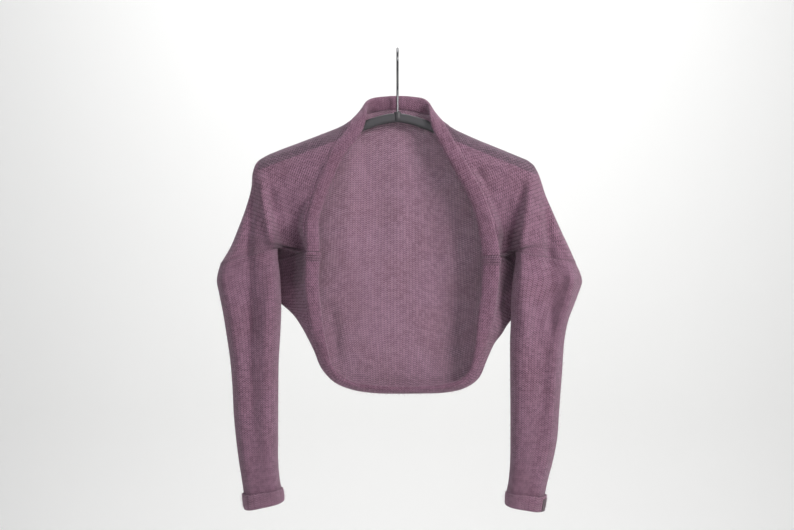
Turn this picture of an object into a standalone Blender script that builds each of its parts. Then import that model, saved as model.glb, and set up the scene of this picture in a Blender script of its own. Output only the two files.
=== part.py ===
# Knitted shrug hanging on a plastic hanger
# Frame: origin at the inside top of the hook, +Z up, +Y to the wall, X to the viewer's right
# Tables are in millimetres, x counts outwards from the middle on either side

import math

import bpy
import bmesh
import numpy as np

MM = 0.001
CLOTH = 1.5
BAND_CLOTH = 1.8
SEAM_GAP = 0.3
EDGE_GAP = 1.0
SIDE_SEAM_AT = 0.88
ARM_HALF_HEIGHT = 7.0
ARM_HALF_THICK = 4.0
ARM_CLEARANCE = 1.9
WIRE_RADIUS = 1.75
HOOK_RADIUS = 19.75
SOCKET_RADIUS = 2.1
SOCKET_DEPTH = 10.0
HUB_TOP = -93.0
CUFF_HEIGHT = 21.0
CUFF_INSIDE = 8.0
CUFF_STEP = 2.6
TAB_LIFT = 0.8
TAB_THICK = 0.9
SMOOTH_UNDER = math.radians(50)

# Middle line of the doubled band, from the back neck to the side seam, then from the hem's middle up
# Columns: x, y, z, width, thickness, then the x, y and z of the direction to the free edge
COLLAR = {
    -1: (
        (0, 15, -77, 22, 9, 0.0, 0.15, 1.0),
        (22, 14, -78.5, 22, 9, -0.1, 0.0, 1.0),
        (38, 12.5, -81.5, 22, 8.5, -0.45, -0.15, 0.87),
        (49, 7.5, -87, 21, 8, -0.55, -0.2, 0.8),
        (53.5, 0, -94, 21, 8, -0.62, 0.0, 0.75),
        (57, -8.5, -104, 21, 8, -0.75, -0.1, 0.35),
        (61, -12.5, -115, 21, 8.5, -0.9, -0.1, -0.1),
        (68, -14, -128, 21, 9, -0.85, -0.15, -0.5),
        (86.7, -17.5, -152, 21, 9.5, -0.83, -0.25, -0.5),
        (102, -20, -185, 20, 10, -0.865, -0.31, -0.39),
        (118.4, -23.5, -221, 20, 10, -0.915, -0.31, -0.25),
        (125.5, -26, -258, 20, 10.5, -0.945, -0.31, -0.05),
        (124.5, -28, -303, 21, 11, -0.95, -0.31, 0.0),
    ),
    1: (
        (0, 15, -77, 22, 9, 0.0, 0.15, 1.0),
        (22, 14, -79, 22, 9, -0.1, 0.0, 1.0),
        (38, 12.5, -82.5, 22, 8.5, -0.45, -0.15, 0.87),
        (49.5, 7.5, -89.5, 21, 8, -0.55, -0.2, 0.8),
        (54.5, 0, -97, 21, 8, -0.62, 0.0, 0.75),
        (58, -8.5, -107, 21, 8, -0.75, -0.1, 0.35),
        (62, -12.5, -118, 21, 8.5, -0.9, -0.1, -0.1),
        (68, -14, -129.5, 21, 9, -0.85, -0.15, -0.5),
        (85.5, -17.5, -161, 22, 9.5, -0.83, -0.25, -0.45),
        (99, -20, -187, 22, 10, -0.85, -0.31, -0.4),
        (111, -22.5, -212, 22, 10, -0.88, -0.31, -0.36),
        (121.5, -24.5, -240, 22, 10.5, -0.91, -0.31, -0.26),
        (129.5, -26.5, -272, 22, 11, -0.93, -0.31, -0.15),
        (136.5, -28, -309, 23, 11, -0.95, -0.31, -0.05),
    ),
}
HEM = {
    -1: (
        (0, 4, -510, 22, 11, 0.0, -0.94, 0.34),
        (34, 3, -508.5, 22, 11, -0.03, -0.93, 0.37),
        (68, 1, -503, 21, 11, -0.14, -0.88, 0.45),
        (89.3, -3, -492, 20, 11, -0.37, -0.79, 0.49),
        (105.5, -10, -470, 19, 11, -0.71, -0.62, 0.34),
        (112.5, -16, -444.5, 19, 11, -0.84, -0.47, 0.24),
        (119.6, -22, -410, 20, 11, -0.9, -0.38, 0.19),
        (126.3, -27, -351.5, 21, 11, -0.94, -0.34, 0.03),
        (124.5, -28, -303, 21, 11, -0.95, -0.31, 0.0),
    ),
    1: (
        (0, 4, -510, 22, 11, 0.0, -0.94, 0.34),
        (36, 3, -509.5, 22, 11, -0.03, -0.93, 0.37),
        (71, 1, -507, 21, 11, -0.12, -0.88, 0.45),
        (96.8, -3, -500, 20, 11, -0.3, -0.79, 0.53),
        (112, -9, -486, 20, 11, -0.6, -0.64, 0.5),
        (120, -14, -465, 20, 11, -0.78, -0.55, 0.3),
        (124.5, -19, -440, 21, 11, -0.87, -0.43, 0.15),
        (129, -24, -401, 22, 11, -0.93, -0.36, 0.1),
        (133.5, -27, -361.5, 23, 11, -0.93, -0.34, 0.1),
        (136.5, -28, -309, 23, 11, -0.95, -0.31, -0.05),
    ),
}

# Sections of the body, share 0 at the middle of the back and 1 at the armhole
# top: where it turns over the shoulder, arm: on the back above the underarm, low: the fold above the hem
# Columns: share, then x, y and z of top, of arm and of low
BODY = {
    -1: (
        (0.0, 0, 15, -99, 0, 19, -400, 0, 17, -492),
        (0.14, 52, 14, -108, 56, 19, -398, 47, 17, -488),
        (0.2, 71, 2.5, -111, 78, 19, -395, 66, 16, -484),
        (0.26, 93, 0, -119.6, 102, 19, -390, 85, 15, -479),
        (0.4, 142, 0, -138, 135, 19, -362, 123, 9, -450),
        (0.5, 178, 0, -151.5, 150, 19, -338, 147, 6, -408),
        (0.56, 198.5, 0, -160.5, 156, 19, -321, 158, 8, -394),
        (0.6, 209.5, 0, -169, 160, 19, -309, 166, 10, -385),
        (0.64, 214.5, 0, -182, 163, 19, -298, 175, 13, -376),
        (0.7, 221, 0, -205, 166, 20, -289, 181, 14, -361),
        (0.78, 228.8, 0, -234, 172, 21, -283, 182, 14, -338),
        (0.88, 238.4, 0, -271, 180, 22, -282, 178, 12, -314),
        (0.94, 250, 1, -296, 186, 20, -288, 174, 6, -303),
        (1.0, 262.3, 2, -320, 190, 19, -298.5, 180, 3, -296.5),
    ),
    1: (
        (0.0, 0, 15, -99, 0, 19, -400, 0, 17, -492),
        (0.14, 53, 14, -110, 56, 19, -398, 49, 17, -488),
        (0.2, 72, 2.5, -114.5, 78, 19, -395, 69, 16, -485),
        (0.26, 93, 0, -124, 102, 19, -390, 90, 15, -481),
        (0.4, 143, 0, -145.3, 137, 19, -368, 134, 9, -458),
        (0.5, 175, 0, -158, 150, 19, -346, 148, 6, -436),
        (0.56, 197, 0, -168, 155, 19, -330, 158, 8, -424),
        (0.6, 206, 0, -177.5, 158, 19, -319, 165, 11, -413),
        (0.64, 212, 0, -189, 160.5, 19, -305, 171, 13, -400),
        (0.7, 220, 0, -214, 164, 20, -297, 175, 14, -384),
        (0.78, 231, 0, -240.5, 170, 20.5, -291, 178, 14, -356),
        (0.88, 246.5, 1, -275, 178, 21, -290, 174, 12, -322),
        (0.94, 257.5, 3, -297.5, 183.5, 20, -295, 171, 6, -310),
        (1.0, 266.5, 6, -317, 187, 19, -305.5, 177.5, 3, -303.5),
    ),
}
UNDERARM = {-1: (177, -8, -296), 1: (174.5, -8, -303)}
SIDE_SEAM_DIP = {-1: (157, -15, -298.5), 1: (162, -15, -305)}

# Relief of a section: place along the front or back part and shift from the straight line
# Columns: share, then place and shift of hollow, ridge, valley and turn in front, of behind, high and mid
# at the back, and last the rise of the front folds at the underarm
RELIEF = (
    (0.0, 0.2, 0, 0.4, 0, 0.6, 0, 0.8, 0, 0.04, 0, 0.15, 0, 0.55, 2, 0),
    (0.14, 0.2, 0, 0.4, 0, 0.6, 0, 0.8, 0, 0.04, 0, 0.15, 1, 0.55, 3, 0),
    (0.2, 0.25, -2.5, 0.5, -4, 0.7, -5, 0.85, -5, 0.03, 6, 0.13, 6, 0.55, 5, 0),
    (0.26, 0.25, -3, 0.5, -4, 0.7, -4.5, 0.86, -4.5, 0.03, 6, 0.14, 7, 0.55, 6, 0),
    (0.4, 0.25, -2.5, 0.5, -4.5, 0.7, -5.3, 0.88, -5, 0.03, 6, 0.15, 8, 0.55, 8, 0),
    (0.52, 0.3, -3, 0.55, -5.6, 0.75, -6.9, 0.9, -5.9, 0.03, 6, 0.15, 9, 0.55, 9, 0),
    (0.62, 0.35, -2.7, 0.8, -9.2, 0.9, -8.1, 0.955, -5.6, 0.05, 6, 0.2, 10, 0.6, 10, 0),
    (0.7, 0.35, -1.5, 0.72, -13.3, 0.9, -11, 0.96, -7.2, 0.07, 7.5, 0.25, 13, 0.65, 10, 0),
    (0.78, 0.35, -1.0, 0.62, -15, 0.86, -12.5, 0.95, -9.9, 0.1, 9.5, 0.3, 16, 0.68, 12, 0),
    (0.88, 0.25, -1, 0.5, -13.5, 0.8, -14, 0.93, -12.3, 0.12, 11, 0.35, 17, 0.7, 12, 0),
    (0.94, 0.16, -5, 0.35, -17, 0.7, -16.5, 0.905, -15.6, 0.11, 12, 0.32, 19.5, 0.7, 13, 6),
    (1.0, 0.06, -9.6, 0.2, -20, 0.6, -19, 0.88, -19, 0.1, 13, 0.3, 22, 0.7, 14, 0),
)
SPANS = (2, 3, 3, 2, 2, 2, 2, 5, 5, 3, 3, 1)
SHARES = (0, 0.05, 0.1, 0.14, 0.17, 0.2, 0.23, 0.27, 0.33, 0.4, 0.46, 0.52, 0.56, 0.6, 0.64, 0.7, 0.78,
          0.88, 0.94, 1.0)

# Sleeve sections from the armhole to the cuff: outer and inner edge, depth of front and back, valleys
# Columns: outer x, y, z, inner x, y, z, front y, back y, place of the front valley, its dip,
# dip of the back, place of the front ridge
SLEEVE = {
    -1: (
        (270.6, 3, -338, 181, -11, -322, -29, 30, 0.62, 7, 6, 0.86),
        (265.8, 3, -364, 179, -12, -352, -30, 30, 0.6, 8, 6, 0.85),
        (261.0, 3, -394, 177, -12, -382, -30, 29, 0.58, 8, 6, 0.84),
        (255.2, 2, -433, 177.1, -8, -423, -29, 28, 0.56, 7, 5, 0.83),
        (250.5, 1, -465, 178.1, -5, -465, -28, 26, 0.55, 5, 4, 0.82),
        (247.5, 0, -497, 178.8, -3, -495, -27, 25, 0.54, 4, 3, 0.82),
        (244.9, 0, -547, 179.2, -2, -546, -26, 23, 0.53, 3, 2, 0.82),
        (241.3, 0, -585, 179.3, -2, -584, -25, 22, 0.52, 2, 2, 0.82),
        (237.0, 0, -618, 179.3, -2, -614, -24, 20, 0.5, 1, 1, 0.82),
        (232.6, -1, -645, 177.3, -2, -640, -22, 19, 0.5, 0, 0, 0.82),
        (229.6, -1, -666, 174.5, -2, -658, -21, 18, 0.5, 0, 0, 0.82),
        (228.2, -1, -680, 173.4, -2, -667.5, -21, 18, 0.5, 0, 0, 0.82),
    ),
    1: (
        (275.4, 14, -338, 178, -11, -328, -29, 30, 0.68, 7, 6, 0.8),
        (271.5, 14, -360, 175, -12, -352, -30, 30, 0.66, 8, 6, 0.8),
        (264.5, 13, -383, 172.3, -12, -376, -30, 29, 0.64, 8, 6, 0.82),
        (256.5, 10, -405, 170, -10, -398, -30, 29, 0.62, 8, 6, 0.83),
        (250.6, 5, -433, 168.7, -8, -428, -29, 28, 0.6, 7, 5, 0.83),
        (246.8, 2, -480, 169.0, -4, -478, -28, 26, 0.58, 5, 4, 0.82),
        (242.0, 0, -540, 169.6, -2, -538, -26, 23, 0.55, 3, 2, 0.82),
        (238.5, 0, -585.5, 169.6, -2, -585, -25, 22, 0.52, 2, 2, 0.82),
        (231.5, 0, -620, 169.0, -2, -622, -23, 20, 0.5, 1, 1, 0.82),
        (224.0, -1, -648, 166.5, -2, -648, -22, 19, 0.5, 0, 0, 0.82),
        (219.6, -1, -670, 163.8, -2, -664, -21, 18, 0.5, 0, 0, 0.82),
        (217.5, -1, -682, 164.9, -2, -673, -21, 18, 0.5, 0, 0, 0.82),
    ),
}
SLEEVE_ROWS = 15
BLEND_OVER = 0.12
FIRST_ROW_AT = 0.045
SLEEVE_DROP = 22.0
SLEEVE_GAP = 0.8
SLANT_GAP = 0.75
LEAD = 6.0
SHORT_LEAD_TO = 0.25
RISE_PARTS = (0.6, 1.0, 0.4)

# Colour, roughness and metallic of each kind of piece
KNIT = ((0.21, 0.13, 0.175), 0.9, 0.0)
BAND_KNIT = ((0.19, 0.11, 0.155), 0.9, 0.0)
TAPE = ((0.06, 0.045, 0.05), 0.8, 0.0)
PLASTIC = ((0.045, 0.042, 0.047), 0.45, 0.0)
WIRE = ((0.4, 0.4, 0.42), 0.3, 1.0)
FINISHES = {
    "body": KNIT, "sleeve_left": KNIT, "sleeve_right": KNIT, "cuff_left": KNIT, "cuff_right": KNIT,
    "collar_band": BAND_KNIT, "hem_band": BAND_KNIT, "cuff_label": TAPE,
    "hanger": PLASTIC, "hanger_hook": WIRE,
}

# Middle line of the hanger's bar, x from the left tip to the right tip
HANGER_LINE = ((-204, -181), (-199, -173), (-190, -166.2), (-126, -141.3), (-80, -124.2), (-50, -113.6),
               (-25, -105.3), (0, -101.6), (25, -106.3), (50, -115.4), (80, -129), (143, -154.3),
               (190, -173.6), (197, -179), (202, -188))


def smooth(knots, rows, where):
    """Curve through the rows at the given places, with an even slope at each row."""
    knots = np.asarray(knots, float)
    rows = np.asarray(rows, float)
    where = np.clip(np.asarray(where, float), knots[0], knots[-1])
    step = np.diff(knots)
    rise = np.diff(rows, axis=0) / step[:, None]
    slope = np.empty_like(rows)
    slope[0] = rise[0]
    slope[-1] = rise[-1]
    before, after = step[:-1, None], step[1:, None]
    slope[1:-1] = (rise[:-1] * after + rise[1:] * before) / (before + after)
    at = np.clip(np.searchsorted(knots, where, side="right") - 1, 0, len(step) - 1)
    s = ((where - knots[at]) / step[at])[:, None]
    size = step[at][:, None]
    return ((2 * s**3 - 3 * s**2 + 1) * rows[at] + (s**3 - 2 * s**2 + s) * size * slope[at]
            + (3 * s**2 - 2 * s**3) * rows[at + 1] + (s**3 - s**2) * size * slope[at + 1])


def knots_of(points):
    """Spacing for a curve through points, the square root of each distance."""
    gaps = np.sqrt(np.maximum(np.linalg.norm(np.diff(points, axis=0), axis=1), 1e-6))
    return np.concatenate(([0.0], np.cumsum(gaps)))


def through(points, spans):
    """Curve through points with the given number of steps in each span."""
    points = np.asarray(points, float)
    knots = knots_of(points)
    where = [knots[0]]
    for i, count in enumerate(spans):
        where.extend(np.linspace(knots[i], knots[i + 1], count + 1)[1:])
    return smooth(knots, points, where)


def unit(vectors):
    return vectors / np.linalg.norm(vectors, axis=-1, keepdims=True)


def band_ring():
    """All rows of the band in one ring, from the back neck down the left, along the hem and up the right."""
    rows = []
    for side, table, backwards in ((-1, COLLAR, False), (-1, HEM, True), (1, HEM, False), (1, COLLAR, True)):
        part = [(side * r[0], *r[1:5], side * r[5], *r[6:]) for r in table[side]]
        part = part[::-1] if backwards else part
        rows.extend(part if not rows else part[1:])
    return np.array(rows, float)


class Band:
    """The band's middle line, its free side and its sizes, by share of each quarter."""

    def __init__(self):
        ring = band_ring()
        body = ring[:-1]
        count = len(body)
        extra = 3
        rows = np.vstack((body[-extra:], body, body[:extra + 1]))
        knots = knots_of(rows[:, :3])
        self.start, self.end = knots[extra], knots[extra + count]
        self.knots, self.rows = knots, rows
        where = np.linspace(self.start, self.end, 4001)
        line = smooth(knots, rows, where)[:, :3]
        self.where = where
        self.length = np.concatenate(([0.0], np.cumsum(np.linalg.norm(np.diff(line, axis=0), axis=1))))
        a = len(COLLAR[-1]) - 1
        b = a + len(HEM[-1]) - 1
        c = b + len(HEM[1]) - 1
        marks = [knots[extra], knots[extra + a], knots[extra + b], knots[extra + c], self.end]
        self.marks = [float(np.interp(m, where, self.length)) for m in marks]

    def at(self, lengths):
        """Middle point, free direction, across direction, width and thickness at lengths round the ring."""
        where = np.interp(lengths, self.length, self.where)
        value = smooth(self.knots, self.rows, where)
        near = 0.02
        tangent = unit(smooth(self.knots, self.rows, where + near)[:, :3]
                       - smooth(self.knots, self.rows, where - near)[:, :3])
        free = value[:, 5:8]
        free = unit(free - tangent * np.sum(free * tangent, axis=1, keepdims=True))
        return value[:, :3], free, np.cross(tangent, free), value[:, 3], value[:, 4]

    def collar_length(self, side, share):
        quarter = self.marks[1] if side < 0 else self.marks[4] - self.marks[3]
        return share * quarter if side < 0 else self.marks[4] - share * quarter

    def hem_length(self, side, share):
        quarter = (self.marks[2] - self.marks[1]) if side < 0 else (self.marks[3] - self.marks[2])
        return self.marks[2] + side * share * quarter

    def free(self, length):
        return self.at(np.array([length]))[1][0]

    def seam(self, length):
        """Where the body's edge lies beside the band."""
        middle, free, _, width, _ = self.at(np.array([length]))
        return (middle - free * (width[:, None] / 2 + EDGE_GAP))[0]


BAND = Band()


def table_at(table, share):
    rows = np.array(table, float)
    return smooth(rows[:, 0], rows[:, 1:], [share])[0]


def seam_line(side, share):
    """Point on the short side seam, share from the band to the underarm."""
    start = BAND.seam(BAND.marks[1] if side < 0 else BAND.marks[3])
    dip = np.array(SIDE_SEAM_DIP[side], float) * (side, 1, 1)
    end = np.array(UNDERARM[side], float) * (side, 1, 1)
    return smooth([0, 0.5, 1], [start, dip, end], [share])[0]


def clear_of_hanger(points):
    """Cloth over the hanger's bar is lifted to lie just on it."""
    line = np.array(HANGER_LINE, float)
    out = points.copy()
    reach = ARM_HALF_THICK + ARM_CLEARANCE
    for n, (x, y, z) in enumerate(points):
        best = None
        for a, b in zip(line[:-1], line[1:]):
            along = b - a
            s = np.clip(np.dot((x, z) - a, along) / np.dot(along, along), 0, 1)
            foot = a + along * s
            gap = np.hypot(x - foot[0], z - foot[1])
            if best is None or gap < best[0]:
                best = (gap, foot)
        gap, foot = best
        beyond = max(gap - (ARM_HALF_HEIGHT - ARM_HALF_THICK), 0.0)
        distance = math.hypot(beyond, y)
        if distance < reach:
            if beyond < 1e-6:
                out[n, 1] = math.copysign(reach, y)
            else:
                grow = reach / max(distance, 1e-6)
                out[n, 1] = y * grow
                shift = (beyond * grow - beyond) / gap
                out[n, 0] = x + (x - foot[0]) * shift
                out[n, 2] = z + (z - foot[1]) * shift
    return out


def body_section(side, share):
    """One knitted column from the collar edge over the shoulder and down the back to the hem edge."""
    mirror = np.array((side, 1, 1), float)
    row = table_at(BODY[side], share)
    relief = table_at(RELIEF, share)
    top, arm, low = row[0:3] * mirror, row[3:6] * mirror, row[6:9] * mirror
    if share < SIDE_SEAM_AT:
        collar = BAND.seam(BAND.collar_length(side, share / SIDE_SEAM_AT))
        hem = BAND.seam(BAND.hem_length(side, share / SIDE_SEAM_AT))
    else:
        collar = seam_line(side, (share - SIDE_SEAM_AT) / (1 - SIDE_SEAM_AT))
        hem = collar
    front = [collar + (top - collar) * relief[k] + (0, relief[k + 1], 0) for k in (0, 2, 4, 6)]
    back = [top + (arm - top) * relief[k] + (0, relief[k + 1], 0) for k in (8, 10, 12)]
    for k, part in enumerate(RISE_PARTS):
        front[k] = front[k] + (0, 0, relief[14] * part)
    lead = low + (hem - low) * 0.7
    if share < SIDE_SEAM_AT:
        lead = hem - BAND.free(BAND.hem_length(side, share / SIDE_SEAM_AT)) * LEAD
        reach = LEAD if share > SHORT_LEAD_TO else LEAD / 2
        straight = collar - BAND.free(BAND.collar_length(side, share / SIDE_SEAM_AT)) * reach
        front[0] = (front[0] + straight) / 2
    return clear_of_hanger(through([collar, *front, top, *back, arm, low, lead, hem], SPANS))


def sleeve_ring(row, side, count_like):
    """One ring of a sleeve, started at the underarm and run round the front first."""
    mirror = np.array((side, 1, 1), float)
    outer, inner = np.array(row[0:3]) * mirror, np.array(row[3:6]) * mirror
    front_y, back_y, valley, front_dip, back_dip, ridge = row[6:12]

    def across(share, y):
        point = inner + (outer - inner) * share
        point[1] = y
        return point

    points = [inner, across(0.07, front_y * 0.72 + 0.28 * inner[1]), across(0.22, front_y),
              across(valley, front_y + front_dip), across(ridge, front_y * 0.86), outer,
              across(0.9, back_y * 0.78), across(0.74, back_y), across(0.5, back_y - back_dip),
              across(0.27, back_y * 0.86), across(0.1, back_y * 0.4), across(0.04, back_y * 0.12), inner]
    loop = [points[-3], points[-2], *points, points[1], points[2]]
    knots = knots_of(np.array(loop))
    where = np.interp(count_like, np.linspace(0, 1, len(points)), knots[2:-2])
    return smooth(knots, loop, where)


def sleeve_surface(side, levels, ring_at):
    """Rings of a sleeve at levels from 0 under the armhole to 1 at the end of the sleeve."""
    armhole = body_section(side, 1.0)
    onward = unit(armhole - body_section(side, 0.97))
    down = np.array((side * 0.1, 0, -0.995))
    aligned = np.clip(onward @ down, 0, 1)[:, None]
    first = armhole + onward * (SLEEVE_GAP + SLANT_GAP * (1 - aligned))
    onward = unit(onward * (aligned + 0.35) + down)
    rows = np.array(SLEEVE[side], float)
    middle = (rows[:, 2] + rows[:, 5]) / 2
    place = FIRST_ROW_AT + (1 - FIRST_ROW_AT) * (middle - middle[0]) / (middle[-1] - middle[0])

    def bean(level):
        return sleeve_ring(smooth(place, rows, [level])[0], side, ring_at)

    meet = bean(BLEND_OVER)
    slope = (bean(BLEND_OVER + 0.01) - meet) / 0.01 * BLEND_OVER
    begin = onward * SLEEVE_DROP
    rings = []
    for level in levels:
        s = level / BLEND_OVER
        if s < 1:
            rings.append((2 * s**3 - 3 * s**2 + 1) * first + (s**3 - 2 * s**2 + s) * begin
                         + (3 * s**2 - 2 * s**3) * meet + (s**3 - s**2) * slope)
        else:
            rings.append(bean(level))
    return np.array(rings)


def wall(name, grid, thickness, closed_around=False, merge_ends=0):
    """Cloth wall on a grid, with rows closed all round or, at each end of the grid, for some rows."""
    rows, columns = grid.shape[:2]
    index = np.arange(rows * columns).reshape(rows, columns)
    points = grid.reshape(-1, 3)
    if closed_around:
        index[:, -1] = index[:, 0]
    if merge_ends:
        index[:merge_ends, -1] = index[:merge_ends, 0]
        index[rows - merge_ends:, -1] = index[rows - merge_ends:, 0]
    faces = []
    for i in range(rows - 1):
        for j in range(columns - 1):
            face = [index[i, j], index[i + 1, j], index[i + 1, j + 1], index[i, j + 1]]
            faces.append([v for k, v in enumerate(face) if v != face[k - 1]])
    return thick(name, points, faces, thickness)


def thick(name, points, faces, thickness):
    """Solid wall round a surface: both sides and the strips along its open edges."""
    normal = np.zeros_like(points)
    for face in faces:
        corner = points[face]
        if len(face) == 4:
            area = np.cross(corner[2] - corner[0], corner[3] - corner[1])
        else:
            area = np.cross(corner[1] - corner[0], corner[2] - corner[0])
        normal[face] += area
    used = np.zeros(len(points), bool)
    used[[v for face in faces for v in face]] = True
    renumber = np.cumsum(used) - 1
    normal = unit(normal[used])
    middle = points[used]
    total = len(middle)
    outer = middle + normal * thickness / 2
    inner = middle - normal * thickness / 2
    solid = []
    edges = {}
    for face in faces:
        face = [int(renumber[v]) for v in face]
        solid.append(face)
        solid.append([v + total for v in face[::-1]])
        for k, v in enumerate(face):
            edges[(face[k - 1], v)] = True
    for a, b in edges:
        if (b, a) not in edges:
            solid.append([b, a, a + total, b + total])
    return make(name, np.vstack((outer, inner)), solid)


def make(name, points, faces):
    """Mesh object in metres from points in millimetres."""
    mesh = bpy.data.meshes.new(name)
    mesh.from_pydata([tuple(p * MM) for p in np.asarray(points, float)], [], faces)
    work = bmesh.new()
    work.from_mesh(mesh)
    bmesh.ops.triangulate(work, faces=[f for f in work.faces if len(f.verts) > 3])
    bmesh.ops.recalc_face_normals(work, faces=work.faces)
    work.to_mesh(mesh)
    work.free()
    mesh.shade_smooth()
    mesh.set_sharp_from_angle(angle=SMOOTH_UNDER)
    thing = bpy.data.objects.new(name, mesh)
    bpy.context.scene.collection.objects.link(thing)
    return thing


def tube(name, rings):
    """Closed solid through rings, with flat ends."""
    rows, columns = rings.shape[:2]
    faces = []
    for i in range(rows - 1):
        for j in range(columns):
            k = (j + 1) % columns
            faces.append([i * columns + j, i * columns + k, (i + 1) * columns + k, (i + 1) * columns + j])
    faces.append(list(range(columns))[::-1])
    faces.append([(rows - 1) * columns + j for j in range(columns)])
    return make(name, rings.reshape(-1, 3), faces)


def build_body():
    left = [body_section(-1, s) for s in SHARES[::-1]]
    right = [body_section(1, s) for s in SHARES[1:]]
    grid = np.array(left + right)
    merged = sum(1 for s in SHARES if s >= SIDE_SEAM_AT)
    return wall("body", grid, CLOTH, merge_ends=merged)


def build_band(name, start, end, stations, steps):
    """Doubled strip of cloth, folded along its free side and open along the seam."""
    lengths = np.linspace(start, end, stations)
    lengths = np.where(lengths < 0, lengths + BAND.marks[4], lengths)
    middle, free, across, width, thickness = BAND.at(lengths)
    pinch = math.asin((BAND_CLOTH / 2 + SEAM_GAP) / (0.5 * thickness.mean()))
    angle = np.linspace(math.pi - pinch, pinch - math.pi, steps + 1)
    half_width = (width / 2 - BAND_CLOTH / 2)[:, None, None]
    half_thick = (thickness / 2 - BAND_CLOTH / 4)[:, None, None]
    grid = (middle[:, None] + free[:, None] * np.cos(angle)[None, :, None] * half_width
            + across[:, None] * np.sin(angle)[None, :, None] * half_thick)
    return wall(name, grid, BAND_CLOTH)


def ring_places():
    """Places of the body's armhole points, as shares of the round."""
    count = sum(SPANS)
    ends = np.concatenate(([0], np.cumsum(SPANS))) / count
    marks = np.linspace(0, 1, len(SPANS) + 1)
    return np.interp(np.linspace(0, 1, count + 1), ends, marks)


def build_sleeve(name, side):
    levels = np.concatenate(([0.0, 0.02, 0.045], np.linspace(0.08, 1.0, SLEEVE_ROWS - 3)))
    grid = sleeve_surface(side, levels, ring_places())
    return wall(name, grid, CLOTH, closed_around=True)


def cuff_profile(side):
    """Rings of a cuff: inner layer's end, fold, then up the outside."""
    end = sleeve_surface(side, [1.0], ring_places())[0]
    before = sleeve_surface(side, [0.93], ring_places())[0]
    down = unit(end.mean(axis=0) - before.mean(axis=0))
    along = np.roll(end[:-1], -1, axis=0) - np.roll(end[:-1], 1, axis=0)
    away = unit(np.cross(along, down))
    away *= np.sign(np.sum(away * (end[:-1] - end.mean(axis=0)), axis=1).sum())
    away = np.vstack((away, away[:1]))
    gap = SEAM_GAP + 0.05
    steps = ((0.0, gap), (0.0, CUFF_INSIDE * 0.8), (0.35, CUFF_INSIDE * 0.95), (1.2, CUFF_INSIDE),
             (2.0, CUFF_INSIDE * 0.9), (CUFF_STEP, CUFF_INSIDE * 0.7), (CUFF_STEP, gap),
             (CUFF_STEP, CUFF_INSIDE - CUFF_HEIGHT))
    rings = []
    for out, fall in steps:
        base = end + away * out
        if fall >= 0:
            rings.append(base + down * fall)
        else:
            share = -fall / np.linalg.norm(end.mean(axis=0) - before.mean(axis=0))
            rings.append(base + (before - end) * share)
    return np.array(rings)


def build_cuff(name, side):
    return wall(name, cuff_profile(side), CLOTH, closed_around=True)


def build_tab():
    """Small tab folded round the lower edge of the right cuff, on its outer side."""
    rings = cuff_profile(1)
    middle = sum(SPANS[:5])
    columns = range(middle - 1, middle + 2)
    high = rings[-1][columns] * 0.75 + rings[-2][columns] * 0.25
    low = rings[-2][columns] * 0.1 + rings[4][columns] * 0.9
    outward = unit(rings[-2][columns] - rings[0][columns])
    lift = CLOTH / 2 + TAB_LIFT + TAB_THICK / 2
    grid = np.array([high + outward * lift, (high + low) / 2 + outward * lift, low + outward * lift])
    return wall("cuff_label", grid, TAB_THICK)


def build_hanger():
    line = np.array(HANGER_LINE, float)
    knots = knots_of(line)
    stations = np.linspace(knots[0], knots[-1], 31)
    path = smooth(knots, line, stations)
    direction = unit(np.gradient(path, axis=0))
    ends = [0.35, 0.72, 0.93]
    first = path[0] - direction[0] * ARM_HALF_HEIGHT * 0.97
    last = path[-1] + direction[-1] * ARM_HALF_HEIGHT * 0.97
    centres, sizes, ways = [], [], []
    for share in ends:
        reach = math.sqrt(1 - share**2)
        centres.append(path[0] - direction[0] * ARM_HALF_HEIGHT * reach)
        sizes.append(share)
        ways.append(direction[0])
    for point, way in zip(path, direction):
        centres.append(point)
        sizes.append(1.0)
        ways.append(way)
    for share in ends[::-1]:
        reach = math.sqrt(1 - share**2)
        centres.append(path[-1] + direction[-1] * ARM_HALF_HEIGHT * reach)
        sizes.append(share)
        ways.append(direction[-1])
    flat = ARM_HALF_HEIGHT - ARM_HALF_THICK
    corner = [(math.cos(a), math.sin(a)) for a in np.linspace(0, math.pi, 5)]
    outline = [(c * ARM_HALF_THICK, flat + s * ARM_HALF_THICK) for c, s in corner]
    outline += [(-y, -u) for y, u in outline]
    rings = []
    for centre, size, way in zip(centres, sizes, ways):
        up = np.array((-way[1], way[0]))
        ring = []
        for y, u in outline:
            point = centre + up * u * size
            ring.append((point[0], y * max(size, 0.5), point[1]))
        rings.append(ring)
    hanger = tube("hanger", np.array(rings))
    hub = solid_of_turn("hub", ((0, -104), (5.5, -104), (5.5, HUB_TOP - 1.5), (4.5, HUB_TOP), (0, HUB_TOP)))
    socket = solid_of_turn("socket", ((0, HUB_TOP - SOCKET_DEPTH), (SOCKET_RADIUS, HUB_TOP - SOCKET_DEPTH),
                                      (SOCKET_RADIUS, HUB_TOP + 5), (0, HUB_TOP + 5)))
    combine(hanger, hub, "UNION")
    combine(hanger, socket, "DIFFERENCE")
    return hanger


def solid_of_turn(name, profile, sides=20):
    """Solid turned round the Z axis from a profile of radius and height."""
    rings = []
    for radius, height in profile:
        around = [(max(radius, 0.001) * math.cos(a), max(radius, 0.001) * math.sin(a), height)
                  for a in np.linspace(0, 2 * math.pi, sides, endpoint=False)]
        rings.append(around)
    return tube(name, np.array(rings))


def combine(base, other, how):
    """Join or cut one solid by another and drop the other."""
    change = base.modifiers.new("combine", "BOOLEAN")
    change.operation = how
    change.solver = "EXACT"
    change.object = other
    graph = bpy.context.evaluated_depsgraph_get()
    result = bpy.data.meshes.new_from_object(base.evaluated_get(graph))
    base.modifiers.clear()
    base.data = result
    bpy.data.objects.remove(other)


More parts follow.
